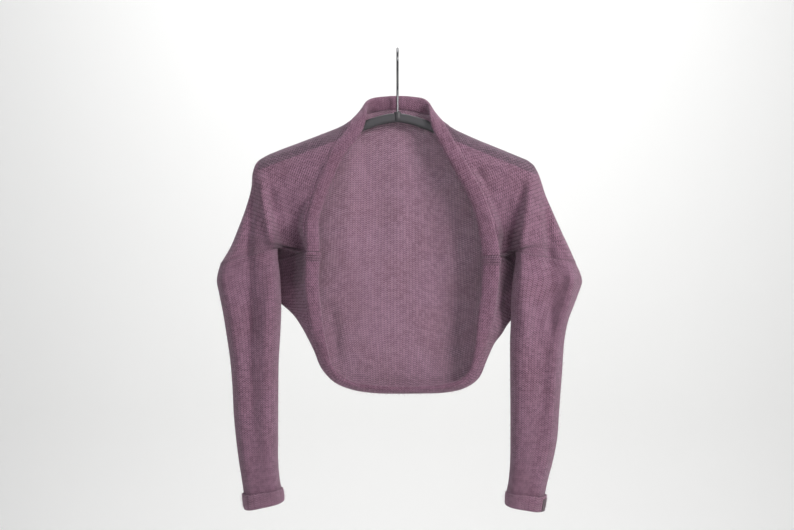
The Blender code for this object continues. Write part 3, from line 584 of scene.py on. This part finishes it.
# Soft troughs pressed into the columns from first to last, ridges where the depth is negative
def crease(grid, marks, first, last, towards, ramp):
    columns = np.arange(grid.shape[1])
    first = np.broadcast_to(first, (len(grid),))[:, None]
    weight = np.clip(np.minimum(columns - first, last - columns) / ramp, 0, 1)
    flat = grid[:, :, (0, 2)]
    shift = np.zeros(grid.shape[:2])
    for x0, z0, x1, z1, depth, width in marks:
        a, along = np.array((x0, z0), float), np.array((x1 - x0, z1 - z0), float)
        s = ((flat - a) @ along) / (along @ along)
        foot = a + np.clip(s, 0, 1)[:, :, None] * along
        off = np.linalg.norm(flat - foot, axis=2)
        ends = np.clip(np.minimum(s, 1 - s) * 4 + 0.3, 0, 1)
        shift += depth * np.exp(-(off / width)**2) * ends
    out = grid.copy()
    out[:, :, 1] += towards * shift * weight
    return out


class Term:            # one shader socket that takes part in sums
    def __init__(self, graph, socket):
        self.graph, self.socket = graph, socket

    def sum(self, kind, *others):
        return self.graph.maths(kind, self, *others)

    def __add__(self, other):
        return self.sum("ADD", other)

    __radd__ = __add__

    def __sub__(self, other):
        return self.sum("SUBTRACT", other)

    def __rsub__(self, other):
        return self.graph.maths("SUBTRACT", other, self)

    def __mul__(self, other):
        return self.sum("MULTIPLY", other)

    __rmul__ = __mul__

    def __truediv__(self, other):
        return self.sum("DIVIDE", other)

    def __pow__(self, other):
        return self.sum("POWER", other)

    def __neg__(self):
        return self * -1.0

    def __abs__(self):
        return self.sum("ABSOLUTE")

    def fract(self):
        return self.sum("FRACT")

    def whole(self):
        return self.sum("FLOOR")

    def cosine(self):
        return self.sum("COSINE")

    def soft(self, low, high):
        node = self.graph.add("ShaderNodeMapRange", {"interpolation_type": "SMOOTHSTEP"},
                              {"Value": self, "From Min": low, "From Max": high})
        return Term(self.graph, node.outputs["Result"])


class Graph:           # node tree of one material
    def __init__(self, name, settings):
        self.material = bpy.data.materials.new(name)
        self.material.use_nodes = True
        self.tree = self.material.node_tree
        self.shader = self.tree.nodes["Principled BSDF"]
        for key, value in settings.items():
            self.shader.inputs[key].default_value = value

    def add(self, kind, settings, values):
        node = self.tree.nodes.new(kind)
        for key, value in settings.items():
            setattr(node, key, value)
        for key, value in values.items():
            self.join(value, node.inputs[key])
        return node

    def join(self, value, socket):
        if isinstance(value, Term):
            self.tree.links.new(value.socket, socket)
        else:
            socket.default_value = value

    def maths(self, kind, *values):
        node = self.add("ShaderNodeMath", {"operation": kind}, dict(enumerate(values)))
        return Term(self, node.outputs[0])

    def mix(self, factor, first, second):
        node = self.add("ShaderNodeMix", {"data_type": "RGBA"}, {0: factor, 6: first, 7: second})
        return Term(self, node.outputs[2])

    def noise(self, place, scale, detail=2.0):
        node = self.add("ShaderNodeTexNoise", {}, {"Vector": place, "Scale": scale, "Detail": detail})
        return Term(self, node.outputs["Fac"])

    def chance(self, x, y):
        place = self.add("ShaderNodeCombineXYZ", {}, {"X": x, "Y": y})
        settings = {"noise_dimensions": "2D"}
        node = self.add("ShaderNodeTexWhiteNoise", settings, {"Vector": Term(self, place.outputs[0])})
        return Term(self, node.outputs["Value"])

    def stitchPlace(self):
        uv = self.add("ShaderNodeUVMap", {"uv_map": "stitches"}, {})
        parts = self.add("ShaderNodeSeparateXYZ", {}, {"Vector": Term(self, uv.outputs[0])})
        return Term(self, parts.outputs[0]), Term(self, parts.outputs[1])

    def objectPlace(self):
        return Term(self, self.add("ShaderNodeTexCoord", {}, {}).outputs["Object"])

    def finish(self, colour, height=None, depth=0.0005, strength=1.0, alpha=None, roughness=None):
        self.join(colour, self.shader.inputs["Base Color"])
        if height is not None:
            bump = self.add("ShaderNodeBump", {}, {"Height": height, "Distance": depth, "Strength": strength})
            self.join(Term(self, bump.outputs[0]), self.shader.inputs["Normal"])
        if alpha is not None:
            self.join(alpha, self.shader.inputs["Alpha"])
        if roughness is not None:
            self.join(roughness, self.shader.inputs["Roughness"])
        return self.material


def shade(colour, factor):
    return tuple(c * factor for c in colour) + (1.0,)


knitLook = {
    "light": (0.36, 0.2, 0.285),      # yarn in the open
    "dark": (0.062, 0.024, 0.044),    # painted shade between the loops
    "warm": (0.285, 0.145, 0.2),
    "wale": 0.0044,
    "row": 0.0032,
    "solid": 0.9,                     # cover of one side of the wall
    "holes": 0.5,                     # what the gaps between the loops take from it
    "depth": 0.001,
}
# the band's yarn is set darker than the body's knit: painted shade over the whole band
bandLook = dict(knitLook, light=(0.315, 0.166, 0.243), dark=(0.042, 0.017, 0.03),
                warm=(0.24, 0.115, 0.165), solid=1.0, holes=0.0, wale=0.0042)
cuffLook = dict(knitLook, solid=1.0, holes=0.0, light=(0.31, 0.18, 0.245))


def knitMaterial(name, look, purl=False, onBody=False):
    graph = Graph(name, {"Roughness": 0.92, "Specular IOR Level": 0.2, "Sheen Weight": 0.35,
                         "Sheen Roughness": 0.45, "Sheen Tint": (0.93, 0.8, 0.88, 1)})
    u, v = graph.stitchPlace()
    place = graph.objectPlace()
    drift = graph.noise(place, 55.0) - 0.5
    fine = graph.noise(place, 420.0) - 0.5
    across = u / look["wale"] + drift * 0.35 + fine * 0.12
    along = v / look["row"] + drift * 0.5 + fine * 0.2
    lean = abs(across.fract() - 0.5) * 2.0
    own = graph.chance(across.whole(), along.whole())
    if purl:
        arc = along + (lean * 3.1416).cosine() * 0.22
        ridge = 1.0 - abs(arc.fract() * 2.0 - 1.0)
        height = ridge.soft(0.0, 0.85) * 0.78 + (1.0 - lean**2.0) * 0.22
    else:
        leg = along - lean * 0.85
        ridge = 1.0 - abs(leg.fract() * 2.0 - 1.0)
        height = ridge.soft(0.0, 0.8) * (1.0 - lean**4.0 * 0.8) * (0.72 + lean.soft(0.0, 0.35) * 0.28)
    height = height * (0.8 + own * 0.4)
    patch = graph.noise(place, 17.0, 3.0).soft(0.35, 0.68)
    yarn = graph.mix(patch * 0.55, (*look["light"], 1.0), (*look["warm"], 1.0))
    yarn = graph.mix(own.soft(0.3, 1.0) * 0.3, yarn, shade(look["light"], 1.35))
    yarn = graph.mix((1.0 - own).soft(0.5, 1.0) * 0.25, yarn, shade(look["warm"], 0.62))
    # darker where the stitch relief is low: painted shade between the loops
    colour = graph.mix(height.soft(0.02, 0.75), (*look["dark"], 1.0), yarn)
    halo = graph.noise(place, 1300.0) * 0.14
    colour = graph.mix(halo, colour, shade(look["light"], 1.15))
    if onBody:                       # the hanger's bar shows through the knit, and painted shade darkens the pockets under each arm
        parts = graph.add("ShaderNodeSeparateXYZ", {}, {"Vector": place})
        x, y, z = (Term(graph, parts.outputs[k]) for k in range(3))
        below = -z - abs(x) * 0.3935 - x * 0.016 - 0.0951      # how far under the bar's middle line
        onBar = (1.0 - below.soft(0.0074, 0.0083)) * (1.0 - abs(x).soft(0.207, 0.21))
        onBar = onBar * abs(x).soft(0.055, 0.085)
        colour = graph.mix(onBar * (0.95 - height * 0.6), colour, (0.075, 0.064, 0.078, 1.0))
        # painted shade: the knit is made darker in the pocket beside the band under each arm, on the front side
        # only
        beside, under = (abs(x) - 0.161) * 1.15, (z + 0.312) * 0.62
        pocketShade = (1.0 - (beside**2.0 + under**2.0).soft(0.0001, 0.0016)) * (1.0 - y.soft(0.008, 0.016))
        colour = graph.mix(pocketShade * 0.62, colour, (0.03, 0.012, 0.02, 1.0))
    alpha = None
    if look["holes"]:
        between = 1.0 - abs((along - lean * 0.85).fract() * 2.0 - 1.0)
        gap = (1.0 - between.soft(0.1, 0.6)) * (0.35 + own * 0.65) * lean.soft(0.1, 0.8)
        alpha = look["solid"] - gap * (look["holes"] * (0.6 if purl else 1.0))
    return graph.finish(colour, height + fine * 0.6, look["depth"], 0.8, alpha)


def seamMaterial():
    graph = Graph("seamStitches", {"Roughness": 0.9, "Specular IOR Level": 0.2, "Sheen Weight": 0.3})
    u, v = graph.stitchPlace()
    twist = (v / 0.0036 + u * 2.0).fract()
    height = (1.0 - abs(twist * 2.0 - 1.0)).soft(0.0, 0.9)
    # darker between the twists of the thread: painted shade, in the same colour as the shade between the knit's
    # loops
    colour = graph.mix(height, (*knitLook["dark"], 1.0), shade(knitLook["light"], 0.85))
    return graph.finish(colour, height, 0.0006)


def fibreMaterial():
    graph = Graph("looseFibres", {"Roughness": 0.7, "Specular IOR Level": 0.3})
    tone = graph.noise(graph.objectPlace(), 60.0)
    return graph.finish(graph.mix(tone, shade(knitLook["light"], 0.95), shade(knitLook["light"], 1.55)))


def plasticMaterial():
    graph = Graph("mouldedPlastic", {"Roughness": 0.42, "Specular IOR Level": 0.45})
    place = graph.objectPlace()
    cloud = graph.noise(place, 35.0, 4.0)
    grain = graph.noise(place, 2600.0, 2.0)
    colour = graph.mix(cloud, (0.034, 0.032, 0.036, 1), (0.05, 0.047, 0.052, 1))
    return graph.finish(colour, grain, 0.0002, 0.25, None, 0.36 + cloud * 0.16)


def wireMaterial():
    graph = Graph("hookWire", {"Metallic": 1.0})
    place = graph.objectPlace()
    wear = graph.noise(place, 180.0, 4.0)
    colour = graph.mix(wear, (0.1, 0.1, 0.105, 1), (0.2, 0.2, 0.21, 1))
    return graph.finish(colour, graph.noise(place, 900.0), 0.0001, 0.2, None, 0.2 + wear * 0.2)


def tapeMaterial():
    graph = Graph("wovenTape", {"Roughness": 0.75, "Sheen Weight": 0.15})
    u, v = graph.stitchPlace()
    weft = abs((v / 0.0006).fract() * 2.0 - 1.0)
    warp = abs((u / 0.0005).fract() * 2.0 - 1.0)
    height = weft * 0.6 + warp * 0.4
    colour = graph.mix(height, (0.045, 0.03, 0.036, 1), (0.09, 0.062, 0.07, 1))
    return graph.finish(colour, height, 0.0002)


knit = knitMaterial("knit", knitLook)
purl = knitMaterial("purlSide", knitLook, purl=True)
bodyKnit = knitMaterial("bodyKnit", knitLook, onBody=True)
bodyPurl = knitMaterial("bodyPurl", knitLook, purl=True, onBody=True)
bandKnit = knitMaterial("bandKnit", bandLook)
cuffKnit = knitMaterial("cuffKnit", cuffLook)
seamThread = seamMaterial()
fibre = fibreMaterial()

bodyShape = {
    "fine": 6,             # steps along the rows for each step of the guide
    "wales": 230,          # sections from one armhole to the other
    "creases": {           # x0, z0, x1, z1, depth and width in millimetres
        "side": (
            (-150, -290, -158, -395, 19, 18), (153, -296, 160, -405, 21, 18),
        ),
        "front": (
            (-106, -168, -134, -238, 7, 8), (-134, -228, -146, -320, 10, 11),
            (-160, -228, -162, -328, 13, 16), (116, -176, 145, -254, 7, 8),
            (146, -240, 158, -330, 10, 11), (165, -225, 166, -328, 12, 14),
            (-192, -206, -172, -292, 9, 9), (-203, -192, -177, -322, -7.5, 8),
            (-215, -205, -224, -320, 7, 8), (-170, -190, -168, -262, 1.6, 9),
            (-150, -200, -150, -262, 1, 7), (-100, -140, -165, -165, 1, 7), (188, -202, 168, -300, 9, 9),
            (199, -192, 175, -325, -7.5, 8), (220, -212, 227, -322, 7, 8),
            (168, -205, 160, -268, 1.6, 9), (146, -205, 146, -268, 1, 7), (105, -150, 168, -172, 1, 7),
        ),
        "back": (
            (-60, -150, -88, -330, 1.8, 16), (52, -160, 84, -350, 2, 18),
            (-150, -180, -175, -300, 1.4, 12), (140, -190, 170, -310, 1.5, 12),
            (0, -130, 6, -300, 1, 14), (-30, -420, -60, -480, 1.2, 9), (35, -415, 70, -478, 1.1, 9),
            (-101, -385, -90, -478, -5.5, 10), (104, -370, 92, -480, -4.5, 14),
            (-20, -200, -34, -330, -1.6, 12), (26, -240, 14, -380, -1.5, 12),
        ),
    },
}
sleeveShape = {
    "fine": 3,
    "rows": 128,
    "wales": 46,           # stitches round a sleeve
    "creases": {
        -1: {
            "front": (
                (-219, -300, -217, -440, 5, 7), (-181, -296, -194, -450, -5.5, 11),
                (-238, -330, -236, -420, -2, 9), (-215, -478, -240, -492, 1.4, 6),
                (-184, -505, -212, -520, 1.5, 6), (-212, -540, -240, -556, 1.3, 6),
                (-184, -575, -215, -588, 1.4, 6), (-200, -610, -228, -622, 1.2, 5),
                (-222, -420, -214, -560, 3, 7), (-190, -440, -196, -600, -2, 9),
            ),
            "back": (
                (-240, -360, -232, -470, 2.4, 9), (-200, -350, -206, -440, 1.6, 8),
                (-190, -500, -222, -520, 1.3, 7), (-200, -570, -232, -586, 1.2, 7),
                (-190, -620, -214, -630, 1, 6),
            ),
        },
        1: {
            "front": (
                (225, -300, 230, -440, 6, 8), (179, -300, 188, -440, -5, 10),
                (208, -330, 205, -430, 2, 7), (186, -460, 214, -478, 1.3, 6),
                (208, -505, 236, -518, 1.5, 6), (178, -535, 206, -552, 1.3, 6),
                (205, -580, 232, -592, 1.3, 6), (178, -610, 204, -624, 1.2, 5),
                (258, -322, 250, -430, -5, 7), (222, -430, 212, -570, 2.6, 7),
            ),
            "back": (
                (236, -360, 228, -460, 2.4, 9), (196, -350, 200, -440, 1.6, 8),
                (182, -490, 216, -512, 1.3, 7), (190, -560, 226, -578, 1.2, 7),
                (180, -620, 206, -632, 1, 6),
            ),
        },
    },
}
fibreLook = {
    "count": 16000,
    "reach": (2.5, 7.5),
    "lift": (0.15, 0.9),   # from lying flat to standing off
    "width": 0.13,
    "inside": 0.3,         # share on the inner side
    "outwards": 1.0,
    "seed": 4,
}


def buildBody():
    counts = [n * bodyShape["fine"] for n in spans]
    shares = np.linspace(0, 1, bodyShape["wales"] // 2)
    left = [bodySection(-1, s, counts) for s in shares[::-1]]
    grid = np.array(left + [bodySection(1, s, counts) for s in shares[1:]])
    top, last = sum(counts[:overShoulder]), grid.shape[1] - 1
    front, back = bodyShape["creases"]["front"], bodyShape["creases"]["back"]
    for marks in sleeveShape["creases"].values():
        front, back = front + marks["front"], back + marks["back"]
    sewn = np.clip((np.concatenate((shares[::-1], shares[1:])) - 0.8) / 0.1, 0, 1)
    grid = crease(grid, front, 4 - 10 * sewn, top, 1, 6.0)      # the folds run on through the side seam
    grid = crease(grid, back, top, last, -1, 6.0)
    grid = crease(grid, bodyShape["creases"]["side"], sum(counts[:overBack]), last, 1, 6.0)
    merged = int(np.sum(shares >= sideSeamAt))
    body = knitWall("knitBody", grid, stitchMap(grid, top), cloth, [bodyKnit, bodyPurl], mergeEnds=merged)
    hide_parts("body")
    addHairs("bodyFibres", grid, "knit", outwards=bodyOutwards(grid))
    return body, grid


def bodyOutwards(grid):    # the back panel's outer side looks to the wall
    a, b = cellSides(grid)
    back = grid[:-1, :-1, 1] > 12
    return 1.0 if np.cross(b, a)[back][:, 1].mean() > 0 else -1.0


def buildSleeve(side):
    word = "Left" if side < 0 else "Right"
    grid = sleeveSurface(side, np.linspace(0, 1, sleeveShape["rows"]), sleeveShape["fine"])
    outer, last = sum(spans[:overShoulder]) * sleeveShape["fine"], grid.shape[1] - 1
    front, back = (bodyShape["creases"][k] + sleeveShape["creases"][side][k] for k in ("front", "back"))
    grid = crease(grid, front, -3, outer, 1, 3.0)
    grid = crease(grid, back, outer, last, -1, 3.0)
    around = runningTotal(meanSteps(grid, 1))
    wales = sleeveShape["wales"] * knitLook["wale"]
    uv = spread(runningTotal(meanSteps(grid, 0)) * mm, around / around[-1] * wales)
    sleeve = knitWall("sleeve" + word, grid, uv, cloth, outsideFirst(grid), closedAround=True)
    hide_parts("sleeve_" + word.lower())
    addHairs("sleeveFibres" + word, grid, "knit", count=5200, seed=8 + side, inside=0.1)
    return sleeve


def roundOutwards(grid):   # +1 where the grid's own normal points out of the tube
    a, b = cellSides(grid)
    away = grid[:-1, :-1] - grid[:-1].mean(axis=1, keepdims=True)
    return 1.0 if np.sum(np.cross(b, a) * away) > 0 else -1.0


def outsideFirst(grid):
    return [knit, purl] if roundOutwards(grid) < 0 else [purl, knit]


def addHairs(name, grid, slot, **changes):
    look = dict(fibreLook, outwards=roundOutwards(grid))
    looseFibres(name, grid, dict(look, **changes), fibre)


def cuffGrid(side, fine):
    ends = sleeveSurface(side, [0.93, 1.0], fine)
    before, end = ends
    down = unit(end.mean(axis=0) - before.mean(axis=0))
    along = np.roll(end[:-1], -1, axis=0) - np.roll(end[:-1], 1, axis=0)
    away = unit(np.cross(along, down))
    away *= np.sign(np.sum(away * (end[:-1] - end.mean(axis=0)), axis=1).sum())
    away = np.vstack((away, away[:1]))
    a = np.linspace(0, 2 * math.pi, len(end))
    wave = (np.sin(3 * a + side) * 0.5 + np.sin(7 * a + 1.3) * 0.35 + np.sin(11 * a) * 0.15)[:, None]
    steps = [(0.0, 0.35), (0.0, 3.5), (0.05, cuffInside * 0.8), (0.35, cuffInside * 0.95), (1.2, cuffInside),
             (2.05, cuffInside * 0.93), (cuffStep, cuffInside * 0.7)]
    steps += [(cuffStep + 0.5 * math.sin(math.pi * s), cuffInside * 0.7 + (cuffInside * 0.3 - cuffHeight) * s)
              for s in np.linspace(0.1, 1, 12)]
    share = 1 / np.linalg.norm(end.mean(axis=0) - before.mean(axis=0))
    rings = []
    for n, (out, fall) in enumerate(steps):
        base = end + away * out
        if fall >= 0:
            rings.append(base + down * fall + wave * away * 0.25)
        else:
            rings.append(base + (before - end) * (-fall * share)
                         + away * wave * 0.35 + down * wave * 0.5 * (n / len(steps)))
    return np.array(rings)


def buildCuff(side):
    word = "Left" if side < 0 else "Right"
    grid = cuffGrid(side, cuffFine)
    wales = cuffWales * cuffLook["wale"]
    uv = spread(runningTotal(meanSteps(grid, 0)) * mm, np.linspace(0, wales, grid.shape[1]))
    cuff = knitWall("cuff" + word, grid, uv, cuffWall, [cuffKnit, cuffKnit], closedAround=True)
    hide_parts("cuff_" + word.lower())
    addHairs("cuffFibres" + word, grid[6:], "knit", count=1500, seed=20 + side, inside=0.0)
    return cuff


bandShape = {
    "rows": 210,           # rings along each half
    "around": 33,
    "round": 0.85,         # 1 is an ellipse, less is squarer
    "joins": ((-4.2, 1.3), (-0.9, 1.6), (2.4, 1.4), (5.0, 0.7)),      # place and radius of the ridges
}


def buildEdging(name, start, end, node):
    rows, around = bandShape["rows"], bandShape["around"]
    lengths = np.linspace(start, end, rows)
    lengths = np.where(lengths < 0, lengths + band.marks[4], lengths)
    middle, free, across, width, thickness = band.at(lengths)
    swells = 1 + np.random.default_rng(5).uniform(-0.05, 0.05, (22, 1))
    swell = smooth(np.linspace(0, 1, 22), swells, np.linspace(0, 1, rows))[:, 0]
    a = np.linspace(math.pi, -math.pi, around)
    wide = np.sign(np.cos(a)) * np.abs(np.cos(a))**bandShape["round"]
    thick = np.sign(np.sin(a)) * np.abs(np.sin(a))**bandShape["round"]
    grid = (middle[:, None] + free[:, None] * wide[None, :, None] * (width / 2 * swell)[:, None, None]
            + across[:, None] * thick[None, :, None] * (thickness / 2 * swell)[:, None, None])
    along = runningTotal(np.linalg.norm(np.diff(middle, axis=0), axis=1)) * mm
    uv = spread(along, runningTotal(meanSteps(grid, 1)) * mm)[:, :, ::-1]
    points, faces, corners = gridFaces(capped(grid), np.concatenate((uv[:1], uv, uv[-1:])), True)
    if roundOutwards(grid) > 0:
        faces, corners = faces[:, ::-1], corners[:, ::-1]
    piece = makeMesh(name, points, faces, corners, np.zeros(len(faces)), [bandKnit])
    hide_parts(node)
    addHairs(name + "Fibres", grid, "band", count=3200, seed=31, inside=0.0, reach=(2.5, 7.0))
    return piece


def buildSeams(bodyGrid):   # thread ridges round the armholes and across the edging at the sides
    for word, ring, inwards in (("Left", bodyGrid[0], bodyGrid[2]), ("Right", bodyGrid[-1], bodyGrid[-3])):
        outward = unit(ring - ring.mean(axis=0))
        path = ring + unit(ring - inwards) * 0.4 + outward * 0.5
        tubeMesh("armholeSeam" + word, tubeGrid(path, 0.85, 8, outward), seamThread)
    for word, mark in (("Left", band.marks[1] + 9), ("Right", band.marks[3] - 7)):
        for n, (shift, radius) in enumerate(bandShape["joins"]):
            middle, free, across, width, thickness = (v[0] for v in band.at(np.array([mark + shift])))
            a = np.linspace(0, 2 * math.pi, 49)[:, None]
            path = middle + free * np.cos(a) * width / 2 + across * np.sin(a) * thickness / 2
            path += unit(path - middle) * (0.7 + 0.25 * np.sin(a * 5 + n * 2))
            look = seamThread if n == 3 else bandKnit
            grid = tubeGrid(path, radius, 10, unit(path - middle))
            tubeMesh(f"bandJoin{word}{n}", grid, look, 0.012)


def buildTab():
    rings = cuffGrid(1, cuffFine)
    middle = sum(spans[:overShoulder]) * cuffFine
    columns = np.arange(middle - 6, middle + 3)       # round the outer edge, more of it in front
    high = rings[-2][columns]
    low = rings[6][columns]
    outward = unit(rings[6][columns] - rings[0][columns])
    lift = cloth / 2 + tabLift + tabThick / 2 + 0.4
    shares = np.linspace(0, 1, 13)[:, None, None]
    grid = high * (1 - shares) + low * shares + outward * (lift + 0.9 * np.sin(shares * math.pi))
    tape = tapeMaterial()
    tab = knitWall("tab", grid, stitchMap(grid), tabThick, [tape, tape])
    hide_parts("cuff_label")


def buildHanger():
    plastic = plasticMaterial()
    line = np.array(hangerLine, float)
    knots = knotsOf(line)
    path = smooth(knots, line, np.linspace(knots[0], knots[-1], 150))
    way = unit(np.gradient(path, axis=0))
    ends = np.sin(np.linspace(0.06, math.pi / 2, 8))[:-1]       # rounded tips
    beyond = armHalfHeight * np.sqrt(1 - ends**2)[:, None]
    centres = np.vstack((path[0] - way[0] * beyond, path, path[-1] + way[-1] * beyond[::-1]))
    sizes = np.concatenate((ends, np.ones(len(path)), ends[::-1]))
    ways = np.vstack(([way[0]] * len(ends), way, [way[-1]] * len(ends)))
    flat = armHalfHeight - armHalfThick
    turns = np.linspace(0, math.pi, 13)
    half = [(math.cos(a) * armHalfThick, flat + math.sin(a) * armHalfThick) for a in turns]
    outline = half + [(-y, -u) for y, u in half]
    outline.append(outline[0])
    rings = []
    for (x, z), size, (wayX, wayZ) in zip(centres, sizes, ways):
        rings.append([(x - wayZ * u * size, y * max(size, 0.3), z + wayX * u * size) for y, u in outline])
    bar = tubeMesh("hangerBar", np.array(rings), plastic)
    profile = ((0.05, -108), (5.4, -106), (5.6, -102), (5.6, hubTop - 2), (5.3, hubTop - 0.8),
               (4.6, hubTop - 0.1), (2.4, hubTop), (2.1, hubTop - 0.6), (2.05, hubTop - socketDepth))
    a = np.linspace(0, 2 * math.pi, 41)
    hubGrid = np.array([np.stack((np.cos(a) * r, np.sin(a) * r, np.full(41, z)), axis=1) for r, z in profile])
    hub = tubeMesh("hangerHub", hubGrid, plastic)
    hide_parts("hanger")


def buildHook():
    centre = -hookRadius + wireRadius
    path = [(0, hubTop - socketDepth + 0.3), (0, -80), (0, -66), (-1.5, -56), (-9, -44), (-15.5, -34)]
    for degrees in (205, 180, 155, 130, 110, 90, 70, 50, 25, 0):
        a = math.radians(degrees)
        path.append((hookRadius * math.cos(a), centre + hookRadius * math.sin(a)))
    path = np.array(path + [(20.5, -26), (24, -33)], float)
    knots = knotsOf(path)
    line = smooth(knots, path, np.linspace(knots[0], knots[-1], 150))
    line = np.stack((np.zeros(len(line)), line[:, 0], line[:, 1]), axis=1)
    up = np.tile((1.0, 0.0, 0.0), (len(line), 1))
    hook = tubeMesh("hookWire", capped(tubeGrid(line, wireRadius, 20, up)), wireMaterial())
    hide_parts("hanger_hook")


body, bodyGrid = buildBody()
print("body made")
sleeves = {side: buildSleeve(side) for side in (-1, 1)}
cuffs = {side: buildCuff(side) for side in (-1, 1)}
print("sleeves and cuffs made")
collar = buildEdging("collarEdging", band.marks[3] - band.marks[4], band.marks[1], "collar_band")
hem = buildEdging("hemEdging", band.marks[1], band.marks[3], "hem_band")
buildSeams(bodyGrid)
buildTab()
buildHanger()
buildHook()
print("edgings, seams and hanger made")

stage = {
    "floor": -1.42,
    "backdrop": 2.7,
    "half": 6.0,
    "bend": 0.5,
    "wall": 4.5,
    "tone": (0.9, 0.9, 0.892, 1.0),
    "lamps": {             # place, target, size, power and colour
        "windowRight": ((1.4, -1.3, 0.5), (0.0, 0.0, -0.35), 0.8, 38.5, (1.0, 0.985, 0.97)),
        "fillFront": ((-0.4, -2.5, 0.3), (0.0, 0.0, -0.35), 1.4, 16.5, (0.96, 0.975, 1.0)),
        "paperLight": ((0.1, 0.7, 1.7), (0.0, 2.7, -0.5), 2.4, 58.0, (1.0, 1.0, 1.0)),
    },
    "room": (0.93, 0.94, 0.96, 1),
    "roomLight": 0.24,
    "camera": (-0.00075, -1.654, -0.3225),
    "lens": 50.0,
}


def buildStage():
    graph = Graph("palePaper", {"Roughness": 0.9, "Specular IOR Level": 0.1})
    tone = graph.noise(graph.objectPlace(), 1.5)
    material = graph.finish(graph.mix(tone, stage["tone"], shade(stage["tone"][:3], 0.985)))
    bend, back, low, half = stage["bend"], stage["backdrop"], stage["floor"], stage["half"]
    turns = np.linspace(0.15, math.pi / 2, 9)
    line = [(-half, low), (back - bend, low)]
    line += [(back - bend + bend * math.sin(a), low + bend - bend * math.cos(a)) for a in turns]
    line += [(back, low + stage["wall"])]
    grid = np.array([[(x, y, z) for x in (half, -half)] for y, z in line]) / mm
    points, faces, corners = gridFaces(grid, np.zeros((*grid.shape[:2], 2)))
    mesh = bpy.data.meshes.new("paleFloor")
    mesh.from_pydata([tuple(p * mm) for p in points], [], faces.tolist())
    mesh.shade_smooth()
    mesh.materials.append(material)
    floor = bpy.data.objects.new("paleFloor", mesh)
    bpy.context.scene.collection.objects.link(floor)


def addLamp(name, place, target, size, power, colour):
    light = bpy.data.lights.new(name, "AREA")
    light.shape = "DISK"
    light.size = size
    light.energy = power
    light.color = colour
    lamp = bpy.data.objects.new(name, light)
    lamp.location = place
    lamp.rotation_euler = (Vector(target) - Vector(place)).to_track_quat("-Z", "Y").to_euler()
    bpy.context.scene.collection.objects.link(lamp)


def buildCamera():
    data = bpy.data.cameras.new("camera")
    data.lens = stage["lens"]
    data.sensor_width = 36.0
    data.clip_start = 0.05
    camera = bpy.data.objects.new("camera", data)
    camera.location = stage["camera"]
    camera.rotation_euler = (math.pi / 2, 0, 0)
    bpy.context.scene.collection.objects.link(camera)
    bpy.context.scene.camera = camera


buildStage()
for name, settings in stage["lamps"].items():
    addLamp(name, *settings)
world = bpy.data.worlds.new("softRoom")
world.use_nodes = True
world.node_tree.nodes["Background"].inputs["Color"].default_value = stage["room"]
world.node_tree.nodes["Background"].inputs["Strength"].default_value = stage["roomLight"]
bpy.context.scene.world = world
bpy.context.scene.view_settings.view_transform = "Standard"
buildCamera()
print("stage, lights and camera made")

bpy.context.view_layer.update()
